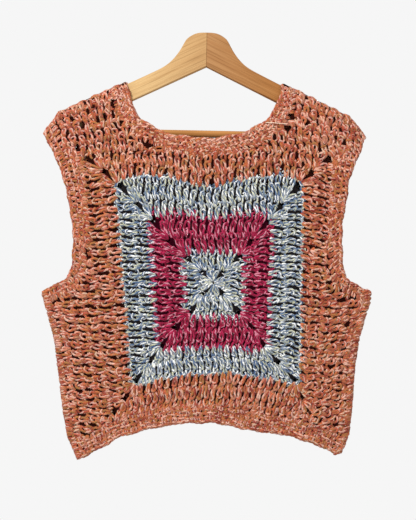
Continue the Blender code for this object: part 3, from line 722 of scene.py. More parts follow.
def crochet_round(yarn, index):
    """One round of the square: stitches on each side and two fans at each corner."""
    count = 4 * (index + 1) - 1
    lower = count - 4
    whole, whole_lower = count + 2 * CORNER_PART, lower + 2 * CORNER_PART
    for side in range(4):
        next_side = (side + 1) % 4
        tops = round_line(index, side, (np.arange(count + 1) + CORNER_PART) / whole)
        centres = (tops[1:] + tops[:-1]) / 2
        if index > 0:
            feet = round_line(
                index - 1, side, (np.arange(lower + 1) + CORNER_PART) / whole_lower)
        for place in range(count):
            top = tops[place:place + 2]
            if FAN_STITCHES <= place < count - FAN_STITCHES:
                foot = feet[place - 2:place]
            else:
                corner = side if place < FAN_STITCHES else next_side
                hub = corner_space(index - 1, corner) if index > 0 else SQUARE_CENTRE
                foot = fan_foot(yarn, hub, centres[place], top)
            if index == FIRST_CORAL_ROUND:
                rise = (top[0] + top[1] - foot[0] - foot[1]) / 2
                foot = [point + rise * CORAL_FOOT_CLEARANCE for point in foot]
            yarn.stitch(TALL_STITCH, foot, top)
        # The chain space that turns the corner
        start = tops[-1]
        after = round_line(index, next_side, [CORNER_PART / whole])[0]
        corner = round_corner(index, next_side)
        turn = smooth_line([start, (start + after) / 4 + corner / 2, after], samples=8)
        yarn.chain(turn, CHAIN_INNER, -CHAIN_OUTER, CHAIN_PITCH)
        if yarn.panel == "back":
            hub = corner_space(index, next_side)
            across = (after - start) / 2
            tie = np.array([hub - across, hub, hub + across])
            yarn.chain(tie, TIE_HALF_WIDTH, -TIE_HALF_WIDTH, TIE_PITCH)


def heights_on(line, x):
    """Heights at x of a line that runs across."""
    order = np.argsort(line[:, 0])
    return np.interp(x, line[order, 0], line[order, 1])


SIDE_ROWS_START = -0.3
SIDE_ROWS_RISE = 0.03
ARMHOLE_ROWS = 3
SHOULDER_ROWS_FOOT = -0.163
SHOULDER_ROWS_ACROSS = np.linspace(0.03, 0.226, 100)


def crochet_sides(yarn, free):
    """Upright rows between the square and the side seams, below the armholes."""
    heights = np.linspace(SIDE_ROWS_START + SIDE_ROWS_RISE, HEM_CORNERS, SIDE_SAMPLES)
    for side, upper, lower in ((-1, 3, 0), (1, 2, 1)):
        top_corner = round_corner(LAST_ROUND, upper)
        low_corner = round_corner(LAST_ROUND, lower)
        along = (top_corner[1] - heights) / (top_corner[1] - low_corner[1])
        inner = pairs(top_corner[0] + (low_corner[0] - top_corner[0]) * along, heights)
        outer = pairs(side_seam(side, heights), heights)
        for low, high in rows_between(inner, outer, SIDE_ROWS):
            yarn.row(
                TALL_STITCH, low, high, STITCH_PITCH,
                inside=lambda point: free(point) and point[1] < SIDE_ROWS_START)


def crochet_beside_armholes(yarn, arms, free):
    """Low rows that follow each armhole's edging, down to the side rows."""
    for side in (-1, 1):
        for row in range(ARMHOLE_ROWS):
            widths = [ARMHOLE_EDGING + EDGING_ROW * step for step in (row, row + 1)]
            near, far = (
                at_share(offset_line(arms[side][0], -side * width), evenly(ARMHOLE_SAMPLES))
                for width in widths)
            yarn.row(
                EDGING_STITCH, far, near, EDGING_PITCH,
                inside=lambda point: free(point)
                and SIDE_ROWS_START < point[1] < SHOULDER_ROWS_FOOT)


def is_inside(point, loop):
    """Whether a point of the flat cut lies inside a closed loop."""
    x, y = point
    x1, y1 = loop[:, 0], loop[:, 1]
    x2, y2 = np.roll(x1, -1), np.roll(y1, -1)
    crosses = (y1 > y) != (y2 > y)
    slope = np.divide(x2 - x1, y2 - y1, out=np.zeros_like(x1), where=crosses)
    return bool(np.sum(crosses & (x < x1 + (y - y1) * slope)) % 2)


def coral_area(neck, arms, hem):
    """The loop inside the edgings, in the flat cut."""
    sides = {}
    for side in (-1, 1):
        arm_far = arms[side][1]
        hem_end = hem[1][0 if side < 0 else -1][1]
        heights = np.linspace(arm_far[-1][1], hem_end, AREA_SAMPLES)
        sides[side] = np.concatenate([arm_far, pairs(side_seam(side, heights), heights)])
    tops = {}
    for side, start, end in ((1, neck[1][-1], arms[1][1][0]), (-1, arms[-1][1][0], neck[1][0])):
        x = np.linspace(start[0], end[0], AREA_SAMPLES)[1:-1]
        tops[side] = pairs(x, shoulder_seam(x))
    return np.concatenate([
        neck[1], tops[1], sides[1], hem[1][::-1], sides[-1][::-1], tops[-1]])


def free_places(area):
    """Whether a place is coral cloth outside the square and inside the edgings."""
    square = np.concatenate([round_line(LAST_ROUND, side, evenly(SQUARE_LOOP_SAMPLES)) for side in range(4)])
    return lambda point: is_inside(point, area) and not is_inside(point, square)


def crochet_shoulders(yarn, free):
    """Rows that turn from the square's top edge to the slope of each shoulder."""
    for side in (-1, 1):
        x = np.sort(side * SHOULDER_ROWS_ACROSS)
        square = pairs(x, heights_on(round_line(LAST_ROUND, 2, evenly(SQUARE_SAMPLES)), x))
        for low, high in rows_between(square, pairs(x, shoulder_seam(x)), SHOULDER_ROWS):
            yarn.row(TALL_STITCH, low, high, STITCH_PITCH, inside=free)


FILL_ACROSS = np.linspace(0.03, 0.15, 60)
FILL_LEAST = 0.004
FEWEST_PLACES = 4
FILL_PITCH = STITCH_PITCH * 0.9


def crochet_below(yarn, hem_far):
    """A low row that fills between the square and the hem towards the corners."""
    for side in (-1, 1):
        x = np.sort(FILL_ACROSS * side)
        foot = pairs(x, heights_on(round_line(LAST_ROUND, 0, evenly(SQUARE_SAMPLES)), x))
        top = pairs(x, heights_on(hem_far, x))
        gap = foot[:, 1] - top[:, 1] > FILL_LEAST
        if gap.sum() > FEWEST_PLACES:
            yarn.row(TALL_STITCH, foot[gap], top[gap], FILL_PITCH)


def crochet_seams(yarn, neck, arms):
    """Joining stitches over the shoulder seams and the side seams."""
    half = SEAM_HALF_WIDTH
    for side in (-1, 1):
        ends = sorted((neck[0][0 if side < 0 else -1][0], arms[side][0][0][0]))
        x = np.linspace(ends[0] + SEAM_END_GAP, ends[1] - SEAM_END_GAP, SHOULDER_SEAM_SAMPLES)
        height = shoulder_seam(x)
        yarn.row(
            EDGING_STITCH, pairs(x, height - half), pairs(x, height + half), EDGING_PITCH,
            depth=SHOULDER_SEAM_DEPTH)
        heights = np.linspace(
            arms[side][0][-1][1] + SIDE_SEAM_RISE, HEM_CORNERS + SIDE_SEAM_CLEARANCE,
            SIDE_SEAM_SAMPLES)
        across = side_seam(side, heights)
        yarn.row(
            SHORT_STITCH, pairs(across - half * side, heights),
            pairs(across + half * side, heights), EDGING_PITCH,
            depth=SIDE_SEAM_DEPTH)


def crochet_behind_openings(yarn):
    """Chains that close the back where the front's slack places lie."""
    for x, height, half_width in OPENINGS:
        if half_width < TIED_FROM:
            continue
        for level in (height - TIE_LEVEL, height + TIE_LEVEL):
            tie = np.array([(x + TIE_HALF_LENGTH * step, level) for step in (-1, 0, 1)])
            yarn.chain(tie, -TIE_HALF_WIDTH, TIE_HALF_WIDTH, CHAIN_PITCH)


def rows_between(first, last, count):
    """The foot line and the top line of each row between two lines."""
    lines = [first + (last - first) * (row / count) for row in range(count + 1)]
    return zip(lines, lines[1:])


def smoothed(line, reach):
    """The line evened out over this many points each way, with its ends kept."""
    padded = np.pad(line, ((reach, reach), (0, 0)), mode="reflect", reflect_type="odd")
    weights = np.hanning(2 * reach + 3)[1:-1]
    weights /= weights.sum()
    return pairs(*(np.convolve(column, weights, "valid") for column in padded.T))


def crochet_strip(yarn, edges, rows, ends):
    """Rows of low stitches out to a free edge, which a chain finishes.

    ends gives, for the strip's start and its end, how far the rim is drawn in there as a
    share of the inset elsewhere, and over which share of the strip's length that fades.
    """
    edge, far = edges
    outward = unit(edge - far)
    along = evenly(len(edge))
    drawn = np.ones(len(edge))
    for (share, run), distance in zip(ends, (along, 1 - along)):
        drawn += (share - 1) * (1 - smoothstep(distance / run))
    rim = smoothed(edge - outward * RIM_INSET * drawn[:, None], RIM_SMOOTHING)
    for low, high in rows_between(far, rim, rows):
        yarn.row(EDGING_STITCH, low, high, EDGING_PITCH)
    yarn.row(
        CHAIN_STITCH, rim - outward * RIM_CHAIN_INNER, rim + outward * RIM_CHAIN_OUTER,
        RIM_CHAIN_PITCH, depth=RIM_CHAIN_DEPTH)


# Geometry Nodes: a strand swept along each path

def feed(tree, socket, value):
    """Gives a socket a plain value, or links the output that value is."""
    if isinstance(value, bpy.types.NodeSocket):
        tree.links.new(value, socket)
    else:
        socket.default_value = value


def add_node(tree, kind, inputs=None, **settings):
    node = tree.nodes.new(kind)
    for key, value in settings.items():
        setattr(node, key, value)
    for key, value in (inputs or {}).items():
        feed(tree, node.inputs[key], value)
    return node


def add_object(name, data):
    item = bpy.data.objects.new(name, data)
    bpy.context.scene.collection.objects.link(item)
    return item


def strand_tree():
    """Sweeps a round strand along each path and keeps its places along and round it."""
    tree = bpy.data.node_groups.new("yarn_strand", "GeometryNodeTree")
    sockets = {
        name: tree.interface.new_socket(name, in_out=way, socket_type=f"NodeSocket{kind}")
        for name, way, kind in (
            ("Paths", "INPUT", "Geometry"),
            ("Yarn radius", "INPUT", "Float"),
            ("Yarn sides", "INPUT", "Int"),
            ("Yarn material", "INPUT", "Material"),
            ("Strands", "OUTPUT", "Geometry"),
        )
    }
    sockets["Yarn sides"].default_value = YARN_SIDES

    def keep(shape, name, value):
        return add_node(
            tree, "GeometryNodeStoreNamedAttribute",
            {"Geometry": shape, "Name": name, "Value": value},
            data_type="FLOAT", domain="POINT").outputs["Geometry"]

    source = add_node(tree, "NodeGroupInput").outputs
    curves = add_node(tree, "GeometryNodeMeshToCurve", {"Mesh": source["Paths"]})
    along = add_node(tree, "GeometryNodeSplineParameter").outputs["Length"]
    circle = add_node(tree, "GeometryNodeCurvePrimitiveCircle", {
        "Resolution": source["Yarn sides"], "Radius": source["Yarn radius"]})
    place = add_node(tree, "GeometryNodeInputPosition").outputs["Position"]
    parts = add_node(tree, "ShaderNodeSeparateXYZ", {"Vector": place}).outputs
    profile = keep(circle.outputs["Curve"], "around_x", parts["X"])
    sweep = add_node(tree, "GeometryNodeCurveToMesh", {
        "Curve": keep(curves.outputs["Curve"], "along", along),
        "Profile Curve": keep(profile, "around_y", parts["Y"]),
        "Fill Caps": True,
    })
    smooth = add_node(tree, "GeometryNodeSetShadeSmooth", {"Geometry": sweep.outputs["Mesh"]})
    paint = add_node(tree, "GeometryNodeSetMaterial", {
        "Geometry": smooth.outputs["Geometry"], "Material": source["Yarn material"]})
    add_node(tree, "NodeGroupOutput", {"Strands": paint.outputs["Geometry"]})
    return tree


def sweep_strands(name, yarn, tree, material, radius=YARN_RADIUS):
    """Runs the tree on the yarn's paths and keeps the plain mesh."""
    guide = add_object(f"{name}_paths", yarn.mesh(name))
    modifier = guide.modifiers.new("strands", "NODES")
    modifier.node_group = tree
    sockets = {item.name: item.identifier for item in tree.interface.items_tree}
    modifier[sockets["Yarn radius"]] = radius
    modifier[sockets["Yarn material"]] = material
    graph = bpy.context.evaluated_depsgraph_get()
    mesh = bpy.data.meshes.new_from_object(guide.evaluated_get(graph))
    mesh.name = name
    piece = add_object(name, mesh)
    bpy.data.objects.remove(guide, do_unlink=True)
    return piece


# Materials

def srgb(red, green, blue):
    def linear(value):
        value /= 255.0
        return value / 12.92 if value <= 0.04045 else ((value + 0.055) / 1.055) ** 2.4
    return (linear(red), linear(green), linear(blue), 1.0)


def new_material(name):
    """A material, its tree, its shader and the places of its texture."""
    material = bpy.data.materials.new(name)
    material.use_nodes = True
    tree = material.node_tree
    place = add_node(tree, "ShaderNodeTexCoord").outputs["Object"]
    return material, tree, tree.nodes["Principled BSDF"], place


def ramp(tree, value, stops, mode="LINEAR"):
    """The colour that the stops, of place and colour, give for a value."""
    node = add_node(tree, "ShaderNodeValToRGB", {"Fac": value})
    node.color_ramp.interpolation = mode
    elements = node.color_ramp.elements
    while len(elements) > 1:
        elements.remove(elements[-1])
    elements[0].position, elements[0].color = stops[0]
    for position, colour in stops[1:]:
        elements.new(position).color = colour
    return node.outputs["Color"]


def maths(tree, operation, *values):
    inputs = dict(enumerate(values))
    return add_node(tree, "ShaderNodeMath", inputs, operation=operation).outputs[0]


def mix_colours(tree, blend, share, first, second):
    return add_node(
        tree, "ShaderNodeMix", {0: share, 6: first, 7: second},
        data_type="RGBA", blend_type=blend).outputs[2]


def noise(tree, place, scale, detail=2.0, roughness=0.5, distortion=0.0):
    return add_node(tree, "ShaderNodeTexNoise", {
        "Vector": place, "Scale": scale, "Detail": detail, "Roughness": roughness,
        "Distortion": distortion,
    }).outputs["Fac"]


def mapped(tree, place, change, amount):
    inputs = {"Vector": place, change: amount}
    return add_node(tree, "ShaderNodeMapping", inputs).outputs["Vector"]


def finish_surface(tree, shader, colour, height, strength, distance, roughness, specular):
    """Gives the shader its colour, its relief and how dull it is."""
    bump = add_node(tree, "ShaderNodeBump", {
        "Height": height, "Strength": strength, "Distance": distance})
    for key, value in (
        ("Base Color", colour),
        ("Normal", bump.outputs["Normal"]),
        ("Roughness", roughness),
        ("Specular IOR Level", specular),
    ):
        feed(tree, shader.inputs[key], value)


PHASE_WANDER = 0.6
TINT_SPREAD = 0.5
FIRST_TINT = 0.3
TINT_RANGE = 0.4
PLY_HEIGHT = -1.6
FIBRE_HEIGHT = 0.8


def yarn_material(name, plies, tints, drift, twist_length):
    """A marled yarn: plies of several colours twisted together, and slow colour changes.

    plies are the colours round the strand, tints the colours that stretches lean to,
    drift how strongly they lean, and twist_length one turn of the plies along the strand.
    """
    material, tree, shader, place = new_material(name)
    around_x, around_y, along, shade = (
        add_node(tree, "ShaderNodeAttribute", attribute_name=key).outputs["Fac"]
        for key in ("around_x", "around_y", "along", "shade"))
    turn = maths(tree, "DIVIDE", maths(tree, "ARCTAN2", around_y, around_x), 2 * math.pi)
    start = maths(tree, "ADD", maths(tree, "DIVIDE", along, twist_length), shade)
    uneven = maths(tree, "MULTIPLY", noise(tree, place, scale=170.0), PHASE_WANDER)
    phase = maths(tree, "ADD", maths(tree, "ADD", turn, start), uneven)
    phase = maths(tree, "FRACT", phase)
    count = len(plies)
    colour = ramp(tree, phase, [(i / count, ply) for i, ply in enumerate(plies)], "CONSTANT")

    slow = noise(tree, place, scale=55.0, detail=4.0, roughness=0.7)
    aside = maths(tree, "MULTIPLY", maths(tree, "SUBTRACT", shade, 0.5), TINT_SPREAD)
    lean = ramp(tree, maths(tree, "ADD", slow, aside), [
        (FIRST_TINT + TINT_RANGE * i / (len(tints) - 1), tint) for i, tint in enumerate(tints)])
    body = mix_colours(tree, "MIX", drift, colour, lean)
    fibre = noise(tree, place, scale=900.0, detail=4.0)
    flecks = ramp(tree, fibre, [(0.3, (0.62, 0.62, 0.62, 1)), (0.7, (1.25, 1.25, 1.25, 1))])
    body = mix_colours(tree, "MULTIPLY", 1.0, body, flecks)

    groove = maths(tree, "FRACT", maths(tree, "MULTIPLY", phase, float(count)))
    groove = maths(tree, "ABSOLUTE", maths(tree, "SUBTRACT", groove, 0.5))
    groove = maths(tree, "MULTIPLY", groove, PLY_HEIGHT)
    height = maths(tree, "ADD", groove, maths(tree, "MULTIPLY", fibre, FIBRE_HEIGHT))
    finish_surface(
        tree, shader, body, height, strength=0.9, distance=0.0005, roughness=0.85, specular=0.2)
    shader.inputs["Sheen Weight"].default_value = 0.12
    shader.inputs["Sheen Roughness"].default_value = 0.5
    return material


def shade_sheet_material(name, dark, light):
    """A dark sheet under the strands: painted shade in the gaps between them."""
    material, tree, shader, place = new_material(name)
    sheet_noise = noise(tree, place, scale=500.0, detail=3.0)
    finish_surface(
        tree, shader, ramp(tree, sheet_noise, [(0.35, dark), (0.7, light)]), sheet_noise,
        strength=0.6, distance=0.0006, roughness=0.95, specular=0.05)
    return material


def wood_material(name, slope, dark, middle, light, casts, glue_line):
    """Matt wood, its grain along the arm.

    casts are the tints that the wood is multiplied by at the hanger's middle and where the vest begins,
    blended in between.
    """
    material, tree, shader, place = new_material(name)
    turned = mapped(tree, place, "Rotation", (0.0, slope, 0.0))
    broad = mapped(tree, turned, "Scale", (9.0, 250.0, 250.0))
    broad = noise(tree, broad, scale=1.0, detail=3.0, distortion=0.6)
    fine = mapped(tree, turned, "Scale", (15.0, 640.0, 640.0))
    fine = noise(tree, fine, scale=1.0, detail=4.0)
    grain = ramp(tree, broad, [
        (0.3, srgb(*dark)), (0.5, srgb(*middle)), (0.72, srgb(*light))])
    pores = ramp(tree, fine, [(0.34, (0.74, 0.7, 0.66, 1)), (0.52, (1.0, 1.0, 1.0, 1))])
    body = mix_colours(tree, "MULTIPLY", 1.0, grain, pores)
    parts = add_node(tree, "ShaderNodeSeparateXYZ", {"Vector": place}).outputs
    outward = maths(tree, "DIVIDE", maths(tree, "ABSOLUTE", parts["X"]), NECK_RIGHT)
    cast = ramp(tree, outward, [(0.0, casts[0]), (1.0, casts[1])])
    body = mix_colours(tree, "MULTIPLY", 1.0, body, cast)
    # The glue line where the two arms meet, in millimetres from the hanger's middle
    level = maths(tree, "MULTIPLY", parts["Z"], -math.tan(HANGER_TILT))
    level = maths(tree, "ABSOLUTE", maths(tree, "ADD", level, parts["X"]))
    joint = ramp(tree, maths(tree, "MULTIPLY", level, 1000.0), [
        (0.2, (0.55, 0.5, 0.45, 1)), (0.6, (1, 1, 1, 1))])
    body = mix_colours(tree, "MULTIPLY", glue_line, body, joint)
    finish_surface(
        tree, shader, body, fine, strength=0.15, distance=0.0003, roughness=0.6, specular=0.0)
    return material


# The loose end by the neck

STRAY_THREAD = [
    # across, height, out of the cloth
    (0.0812, -0.1284, 1.6), (0.085, -0.1281, 3.0), (0.091, -0.1285, 3.4),
    (0.098, -0.1292, 3.4), (0.104, -0.1296, 3.2), (0.1085, -0.13, 2.4),
    (0.1105, -0.1312, 0.6),
]
STRAY_RADIUS = 0.0006
STRAY_SHADE = 0.35


def make_stray_thread(tree, material):
    yarn = Yarn("front", SEED)
    path = smooth_line(STRAY_THREAD, samples=6)
    path[:, 2] *= STITCH_DEPTH
    yarn.paths.append(path)
    yarn.shades.append(STRAY_SHADE)
    return sweep_strands("stray_thread", yarn, tree, material, STRAY_RADIUS)


# Dark sheets of painted shade under the stitches

SHADE_SHEET_INSET = 0.0014
RIM_REACH = 0.003
RIM_DRAW = 0.0022
SAME_PLACE = 0.00002
SHADE_SHEET_SHARP = 60
ARM_SHARP = 35
BAR_SHARP = 50


def add_piece(name, mesh, material, sharp, node, work):
    """A smooth piece, its edges kept past this many degrees, in place of a solid."""
    work.to_mesh(mesh)
    work.free()
    mesh.materials.clear()
    mesh.materials.append(material)
    mesh.shade_smooth()
    mesh.set_sharp_from_angle(angle=math.radians(sharp))
    piece = add_object(name, mesh)
    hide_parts(node)
    return piece


def make_shade_sheet(node, name, material, edges=None):
    """A thin dark copy of a cloth solid, drawn in from both faces and from its rims: painted shade for the
    gaps between the strands.
    """
    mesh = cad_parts[node].data.copy()
    mesh.transform(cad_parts[node].matrix_world)
    work = bmesh.new()
    work.from_mesh(mesh)
    bmesh.ops.remove_doubles(work, verts=work.verts, dist=SAME_PLACE)
    work.normal_update()
    places = np.array([vertex.co[:] for vertex in work.verts])[:, [0, 2]]
    drawn = round_hem_corners(places.copy())
    if edges is not None:
        rim = drape(edges[0], "front")[:, [0, 2]]
        inward = unit(edges[1] - edges[0])
        apart = np.linalg.norm(places[:, None] - rim[None], axis=2)
        at_rim = apart.min(axis=1) < RIM_REACH
        drawn[at_rim] += inward[apart.argmin(axis=1)[at_rim]] * RIM_DRAW
    for vertex, place in zip(work.verts, drawn):
        inset = vertex.normal * SHADE_SHEET_INSET
        vertex.co = (place[0] - inset.x, vertex.co.y - inset.y, place[1] - inset.z)
    return add_piece(name, mesh, material, SHADE_SHEET_SHARP, node, work)


def finish_piece(piece):
    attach(piece, BODY)


# Hanger

ARM_ROUNDING = 0.0016
ROUNDING_STEPS = 4
BAR_RADIUS = 0.005
BAR_HEIGHT = -0.142
BAR_HALF_LENGTH = 0.193
BAR_SIDES = 48
ARM_TOP_PLACES = (0.085, 0.118, 0.152)
ARM_UNDERSIDE_PLACES = (0.12, 0.06)

HEAD_OUTLINE = [
    # across, height
    (0.007, -0.0002), (0.013, -0.001), (0.0186, -0.003), (0.024, -0.0062),
    (0.0282, -0.0098), (0.0312, -0.0145), (0.0339, -0.0195), (0.0374, -0.0256),
    (0.0412, -0.0312), (0.0465, -0.0378), (0.054, -0.045), (0.064, -0.0516),
]

ARM_END_OUTLINE = [
    # across, height
    (0.196, -0.116), (0.201, -0.12), (0.203, -0.126), (0.203, -0.144),
    (0.201, -0.15), (0.196, -0.1525), (0.188, -0.1515), (0.18, -0.146),
    (0.172, -0.136), (0.164, -0.1285),
]


def hanger_outline():
    """The level hanger's outline, dense and smooth, left turning."""
    slope = math.tan(ARM_SLOPE)
    top = [(x, ARM_TOP_AT_CENTRE - x * slope) for x in ARM_TOP_PLACES]
    under = [(x, ARM_UNDERSIDE_AT_CENTRE - x * slope) for x in ARM_UNDERSIDE_PLACES]
    head = smooth_line([(0.0, 0.0)] + HEAD_OUTLINE + top[:1], samples=5)[1:]
    end = smooth_line(ARM_END_OUTLINE, samples=4)
    half = np.concatenate([head, top[1:], end, under])
    middle = np.array([[0.0, ARM_UNDERSIDE_AT_CENTRE]])
    loop = np.concatenate([np.zeros((1, 2)), half, middle, half[::-1] * (-1.0, 1.0)])
    return loop[::-1]


def closed_offset(loop, distance):
    first = unit(loop - np.roll(loop, 1, axis=0))
    second = unit(np.roll(loop, -1, axis=0) - loop)
    both = first + second
    normal = unit(pairs(-both[:, 1], both[:, 0]))
    flat = pairs(-first[:, 1], first[:, 0])
    mitre = np.maximum(0.5, np.sum(normal * flat, axis=1))
    return loop + normal * (distance / mitre)[:, None]


def make_arm(name, side, material, node):
    loop = hanger_outline()
    size = len(loop)
    angles = [math.pi / 2 * step / ROUNDING_STEPS for step in range(ROUNDING_STEPS + 1)]
    rings = [
        (ARM_ROUNDING * (1 - math.cos(angle)),
         ARM_THICKNESS / 2 - ARM_ROUNDING + ARM_ROUNDING * math.sin(angle))
        for angle in angles]
    rings = [(inset, -depth) for inset, depth in reversed(rings)] + rings
    vertices = [
        (x, depth, z) for inset, depth in rings for x, z in tilt(*closed_offset(loop, inset).T).T]
    last = size * (len(rings) - 1)
    faces = [list(range(size)), [i + last for i in reversed(range(size))]]
    for low in range(0, last, size):
        high = low + size
        for i in range(size):
            after = (i + 1) % size
            faces.append([low + after, low + i, high + i, high + after])
    mesh = bpy.data.meshes.new(name)
    mesh.from_pydata(vertices, [], faces)
    work = bmesh.new()
    work.from_mesh(mesh)
    normal = Vector((math.cos(HANGER_TILT), 0, -math.sin(HANGER_TILT))) * side
    cut = bmesh.ops.bisect_plane(
        work, geom=work.verts[:] + work.edges[:] + work.faces[:],
        plane_co=(0, 0, 0), plane_no=normal, clear_inner=True)
    rim = [item for item in cut["geom_cut"] if isinstance(item, bmesh.types.BMEdge)]
    bmesh.ops.contextual_create(work, geom=rim)
    bmesh.ops.recalc_face_normals(work, faces=work.faces)
    return add_piece(name, mesh, material, ARM_SHARP, node, work)


def make_bar(material):
    mesh = bpy.data.meshes.new("bar_wood")
    place = tilt(0.0, BAR_HEIGHT)
    turn = Matrix.Rotation(HANGER_TILT, 4, "Y") @ Matrix.Rotation(math.pi / 2, 4, "Y")
    work = bmesh.new()
    bmesh.ops.create_cone(
        work, cap_ends=True, segments=BAR_SIDES, radius1=BAR_RADIUS, radius2=BAR_RADIUS,
        depth=BAR_HALF_LENGTH * 2, matrix=Matrix.Translation((place[0], 0, place[1])) @ turn)
    return add_piece("bar_wood", mesh, material, BAR_SHARP, "hanger_bar", work)


# Making

WHITE = srgb(255, 255, 250)
PALE_BLUE = srgb(114, 132, 154)
DENIM = srgb(66, 90, 128)
CREAM_GREEN = srgb(206, 204, 170)
CRIMSON = srgb(156, 4, 54)
DEEP_CRIMSON = srgb(102, 0, 34)
MAUVE = srgb(224, 152, 170)
ROSE = srgb(180, 34, 80)
CORAL = srgb(196, 93, 62)
PALE_PINK = srgb(238, 198, 178)
SALMON = srgb(208, 148, 124)
BRICK = srgb(136, 44, 32)
RUST = srgb(164, 104, 56)
DUSTY_ROSE = srgb(178, 98, 86)
OLIVE = srgb(148, 128, 72)
ORANGE = srgb(214, 108, 54)
THREAD = srgb(255, 232, 206)


def make_yarns():
    return {
        "blue": yarn_material(
            "blue_marl",
            [WHITE, DENIM, PALE_BLUE, CREAM_GREEN, DENIM],
            [DENIM, PALE_BLUE, CREAM_GREEN, WHITE], 0.22, 0.02),
        "crimson": yarn_material(
            "crimson_marl",
            [CRIMSON, MAUVE, CRIMSON, DEEP_CRIMSON, ROSE],
            [DEEP_CRIMSON, CRIMSON, ROSE], 0.24, 0.019),
        "coral": yarn_material(
            "coral_marl",
            [CORAL, PALE_PINK, BRICK, RUST],
            [BRICK, DUSTY_ROSE, CORAL, OLIVE, ORANGE, SALMON], 0.44, 0.022),
        "thread": yarn_material(
            "pale_thread", [THREAD, PALE_PINK], [THREAD, CREAM_GREEN], 0.3, 0.006),
    }


def make_shade_sheets():
    # Near-black tones of each yarn: painted shade for the gaps between the strands
    return {
        "blue": shade_sheet_material("blue_shade_sheet", srgb(16, 12, 12), srgb(34, 30, 32)),
        "crimson": shade_sheet_material("crimson_shade_sheet", srgb(24, 0, 6), srgb(52, 0, 16)),
        "coral": shade_sheet_material("coral_shade_sheet", srgb(22, 4, 2), srgb(48, 12, 6)),
    }


AREAS = {
    # yarn, solid, rounds of the square
    "centre": ("blue", "centre_square", (0, 1)),
    "crimson": ("crimson", "crimson_frame", (2, 3)),
    "outer_blue": ("blue", "blue_frame", (4, 5)),
}

STRIPS = {
    # rows; for the start and the end, the share of the inset and where it fades
    "neck_edging": (4, ((1.0, 0.1), (1.0, 0.1))),
    "left_armhole_edging": (2, ((0.6, 0.2), (-0.4, 0.08))),
    "right_armhole_edging": (2, ((0.5, 0.2), (-0.1, 0.07))),
    "hem_edging": (4, ((-1.0, 0.07), (1.0, 0.1))),
}


def make_vest(tree, yarns, shade_sheets):
    neck, hem = neck_strip(), hem_strip()
    arms = {side: armhole_strip(side) for side in (-1, 1)}
    free = free_places(coral_area(neck, arms, hem))
    seeds = itertools.count(SEED + 1)
    for panel in ("front", "back"):
        for area, (yarn_name, node, rounds) in AREAS.items():
            yarn = Yarn(panel, next(seeds))
            for index in rounds:
                crochet_round(yarn, index)
            name = f"{panel}_{area}_stitches"
            stitches = sweep_strands(name, yarn, tree, yarns[yarn_name])
            # The ground made here is a dark sheet of painted shade under the stitches
            ground = make_shade_sheet(f"{panel}_{node}", f"{panel}_{area}_ground", shade_sheets[yarn_name])
            declare_cloth(ground, [stitches])
        around = Yarn(panel, next(seeds), CORAL_JUMBLE)
        for index in (FIRST_CORAL_ROUND, LAST_ROUND):
            crochet_round(around, index)
        beside = Yarn(panel, next(seeds), CORAL_JUMBLE)
        crochet_sides(beside, free)
        crochet_beside_armholes(beside, arms, free)
        crochet_shoulders(beside, free)
        crochet_below(beside, hem[1])
        if panel == "front":
            crochet_seams(beside, neck, arms)
        else:
            crochet_behind_openings(beside)
        pieces = [
            sweep_strands(f"{panel}_{part}", yarn, tree, yarns["coral"], CORAL_RADIUS)
            for part, yarn in (("coral_rounds", around), ("coral_rows", beside))]
        # The ground made here is a dark sheet of painted shade under the stitches
        ground = make_shade_sheet(f"{panel}_coral_body", f"{panel}_coral_shade_sheet", shade_sheets["coral"])
        if panel == "front":
            pieces.append(make_stray_thread(tree, yarns["thread"]))
        declare_cloth(ground, pieces)

    for (node, (rows, ends)), edges in zip(STRIPS.items(), (neck, arms[-1], arms[1], hem)):
        pieces = []
        for panel in ("front", "back"):
            yarn = Yarn(panel, next(seeds), CORAL_JUMBLE)
            crochet_strip(yarn, edges, rows, ends)
            pieces.append(
                sweep_strands(f"{panel}_{node}_stitches", yarn, tree, yarns["coral"]))
        # The ground made here is a dark sheet of painted shade under the stitches
        ground = make_shade_sheet(node, f"{node}_ground", shade_sheets["coral"], edges)
        declare_cloth(ground, pieces)


def declare_cloth(ground, pieces):
    # The ground is a dark sheet of painted shade under the pieces
    finish_piece(ground)
    for piece in pieces:
        finish_piece(piece)


WOODS = {
    # slope, dark, middle and light tone, casts in the middle and outwards, glue line
    # The left arm's wood is painted lighter and the right arm's darker: painted light and painted shade on
    # one wood
    "light_wood": (
        ARM_SLOPE - HANGER_TILT, (193, 155, 110), (201, 165, 120), (207, 172, 126),
        ((0.83, 0.75, 0.66, 1), (1.08, 1.11, 1.04, 1)), 1.0),
    "dark_wood": (
        -ARM_SLOPE - HANGER_TILT, (171, 125, 82), (179, 134, 90), (185, 141, 97),
        ((0.9, 0.87, 0.85, 1), (0.81, 0.65, 0.46, 1)), 1.0),
    "bar_wood_finish": (
        -HANGER_TILT, (166, 114, 64), (180, 126, 74), (190, 138, 86),
        ((1.0, 1.0, 1.0, 1), (1.0, 1.0, 1.0, 1)), 0.0),
}


def make_hanger():
    # The two arms get a lit and a shaded copy of one wood: painted light and painted shade
    left, right, bar = (wood_material(name, *looks) for name, looks in WOODS.items())
    finish_piece(make_arm("left_arm_wood", -1, left, "hanger_left_arm"))
    finish_piece(make_arm("right_arm_wood", 1, right, "hanger_right_arm"))
    finish_piece(make_bar(bar))


# Stage

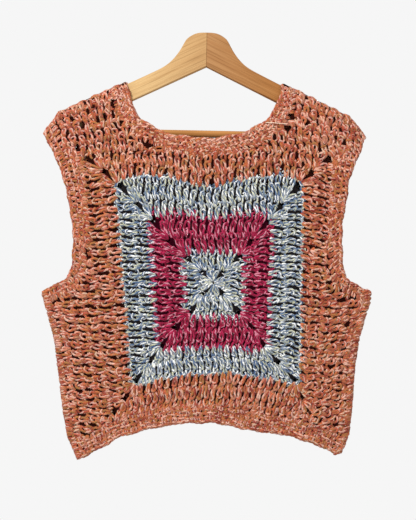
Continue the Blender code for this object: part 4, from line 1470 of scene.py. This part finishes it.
LIGHTS = [
    # name, place, width, power in watts
    ("key_light", (-0.9, -1.6, 1.0), 0.45, 47.0),
    ("fill_light", (1.4, -1.6, 0.2), 1.2, 6.0),
    ("back_light", (0.5, 1.7, 0.6), 0.6, 42.0),
]
LIT_PLACE = Vector((0.0, 0.0, -0.3))
FLOOR_RADIUS = 1.2
FLOOR_COLOUR = (0.62, 0.62, 0.62, 1)
FLOOR_ROUGHNESS = 0.9
PHOTO_WIDTH = 416
PHOTO_HEIGHT = 520
HEAD_COLUMN = 207
HEAD_ROW = 32
METRES_PER_PIXEL = 0.0014
VIEW_DISTANCE = 1.45
SHARP_DEPTH = 0.008
FLOOR_HEIGHT = -1.05
SKY_LIGHT = 0.55


def make_stage():
    mesh = bpy.data.meshes.new("floor")
    work = bmesh.new()
    bmesh.ops.create_circle(
        work, cap_ends=True, segments=96, radius=FLOOR_RADIUS,
        matrix=Matrix.Translation((0, 0, FLOOR_HEIGHT)))
    work.to_mesh(mesh)
    work.free()
    material, _, shader, _ = new_material("pale_floor")
    shader.inputs["Base Color"].default_value = FLOOR_COLOUR
    shader.inputs["Roughness"].default_value = FLOOR_ROUGHNESS
    mesh.materials.append(material)
    add_object("floor", mesh)

    world = bpy.data.worlds.new("studio")
    world.use_nodes = True
    tree = world.node_tree
    background = tree.nodes["Background"]
    seen = add_node(tree, "ShaderNodeLightPath").outputs["Is Camera Ray"]
    strength = add_node(tree, "ShaderNodeMapRange", {
        "Value": seen, "To Min": SKY_LIGHT, "To Max": 1.0})
    feed(tree, background.inputs["Color"], srgb(246, 246, 246))
    feed(tree, background.inputs["Strength"], strength.outputs["Result"])
    bpy.context.scene.world = world
    bpy.context.scene.view_settings.view_transform = "Standard"

    for name, place, size, power in LIGHTS:
        light = bpy.data.lights.new(name, "AREA")
        light.size = size
        light.energy = power
        lamp = add_object(name, light)
        lamp.location = place
        lamp.rotation_euler = (LIT_PLACE - Vector(place)).to_track_quat("-Z", "Y").to_euler()

    camera = bpy.data.cameras.new("camera")
    camera.sensor_width = 36.0
    half_height = PHOTO_HEIGHT * METRES_PER_PIXEL / 2
    camera.lens = camera.sensor_width / 2 / (half_height / (VIEW_DISTANCE - SHARP_DEPTH))
    viewer = add_object("camera", camera)
    viewer.location = (
        (PHOTO_WIDTH / 2 - HEAD_COLUMN) * METRES_PER_PIXEL,
        -VIEW_DISTANCE,
        -(PHOTO_HEIGHT / 2 - HEAD_ROW) * METRES_PER_PIXEL,
    )
    viewer.rotation_euler = (math.pi / 2, 0.0, 0.0)
    bpy.context.scene.camera = viewer


def main():
    make_stage()
    make_hanger()
    make_vest(strand_tree(), make_yarns(), make_shade_sheets())


main()
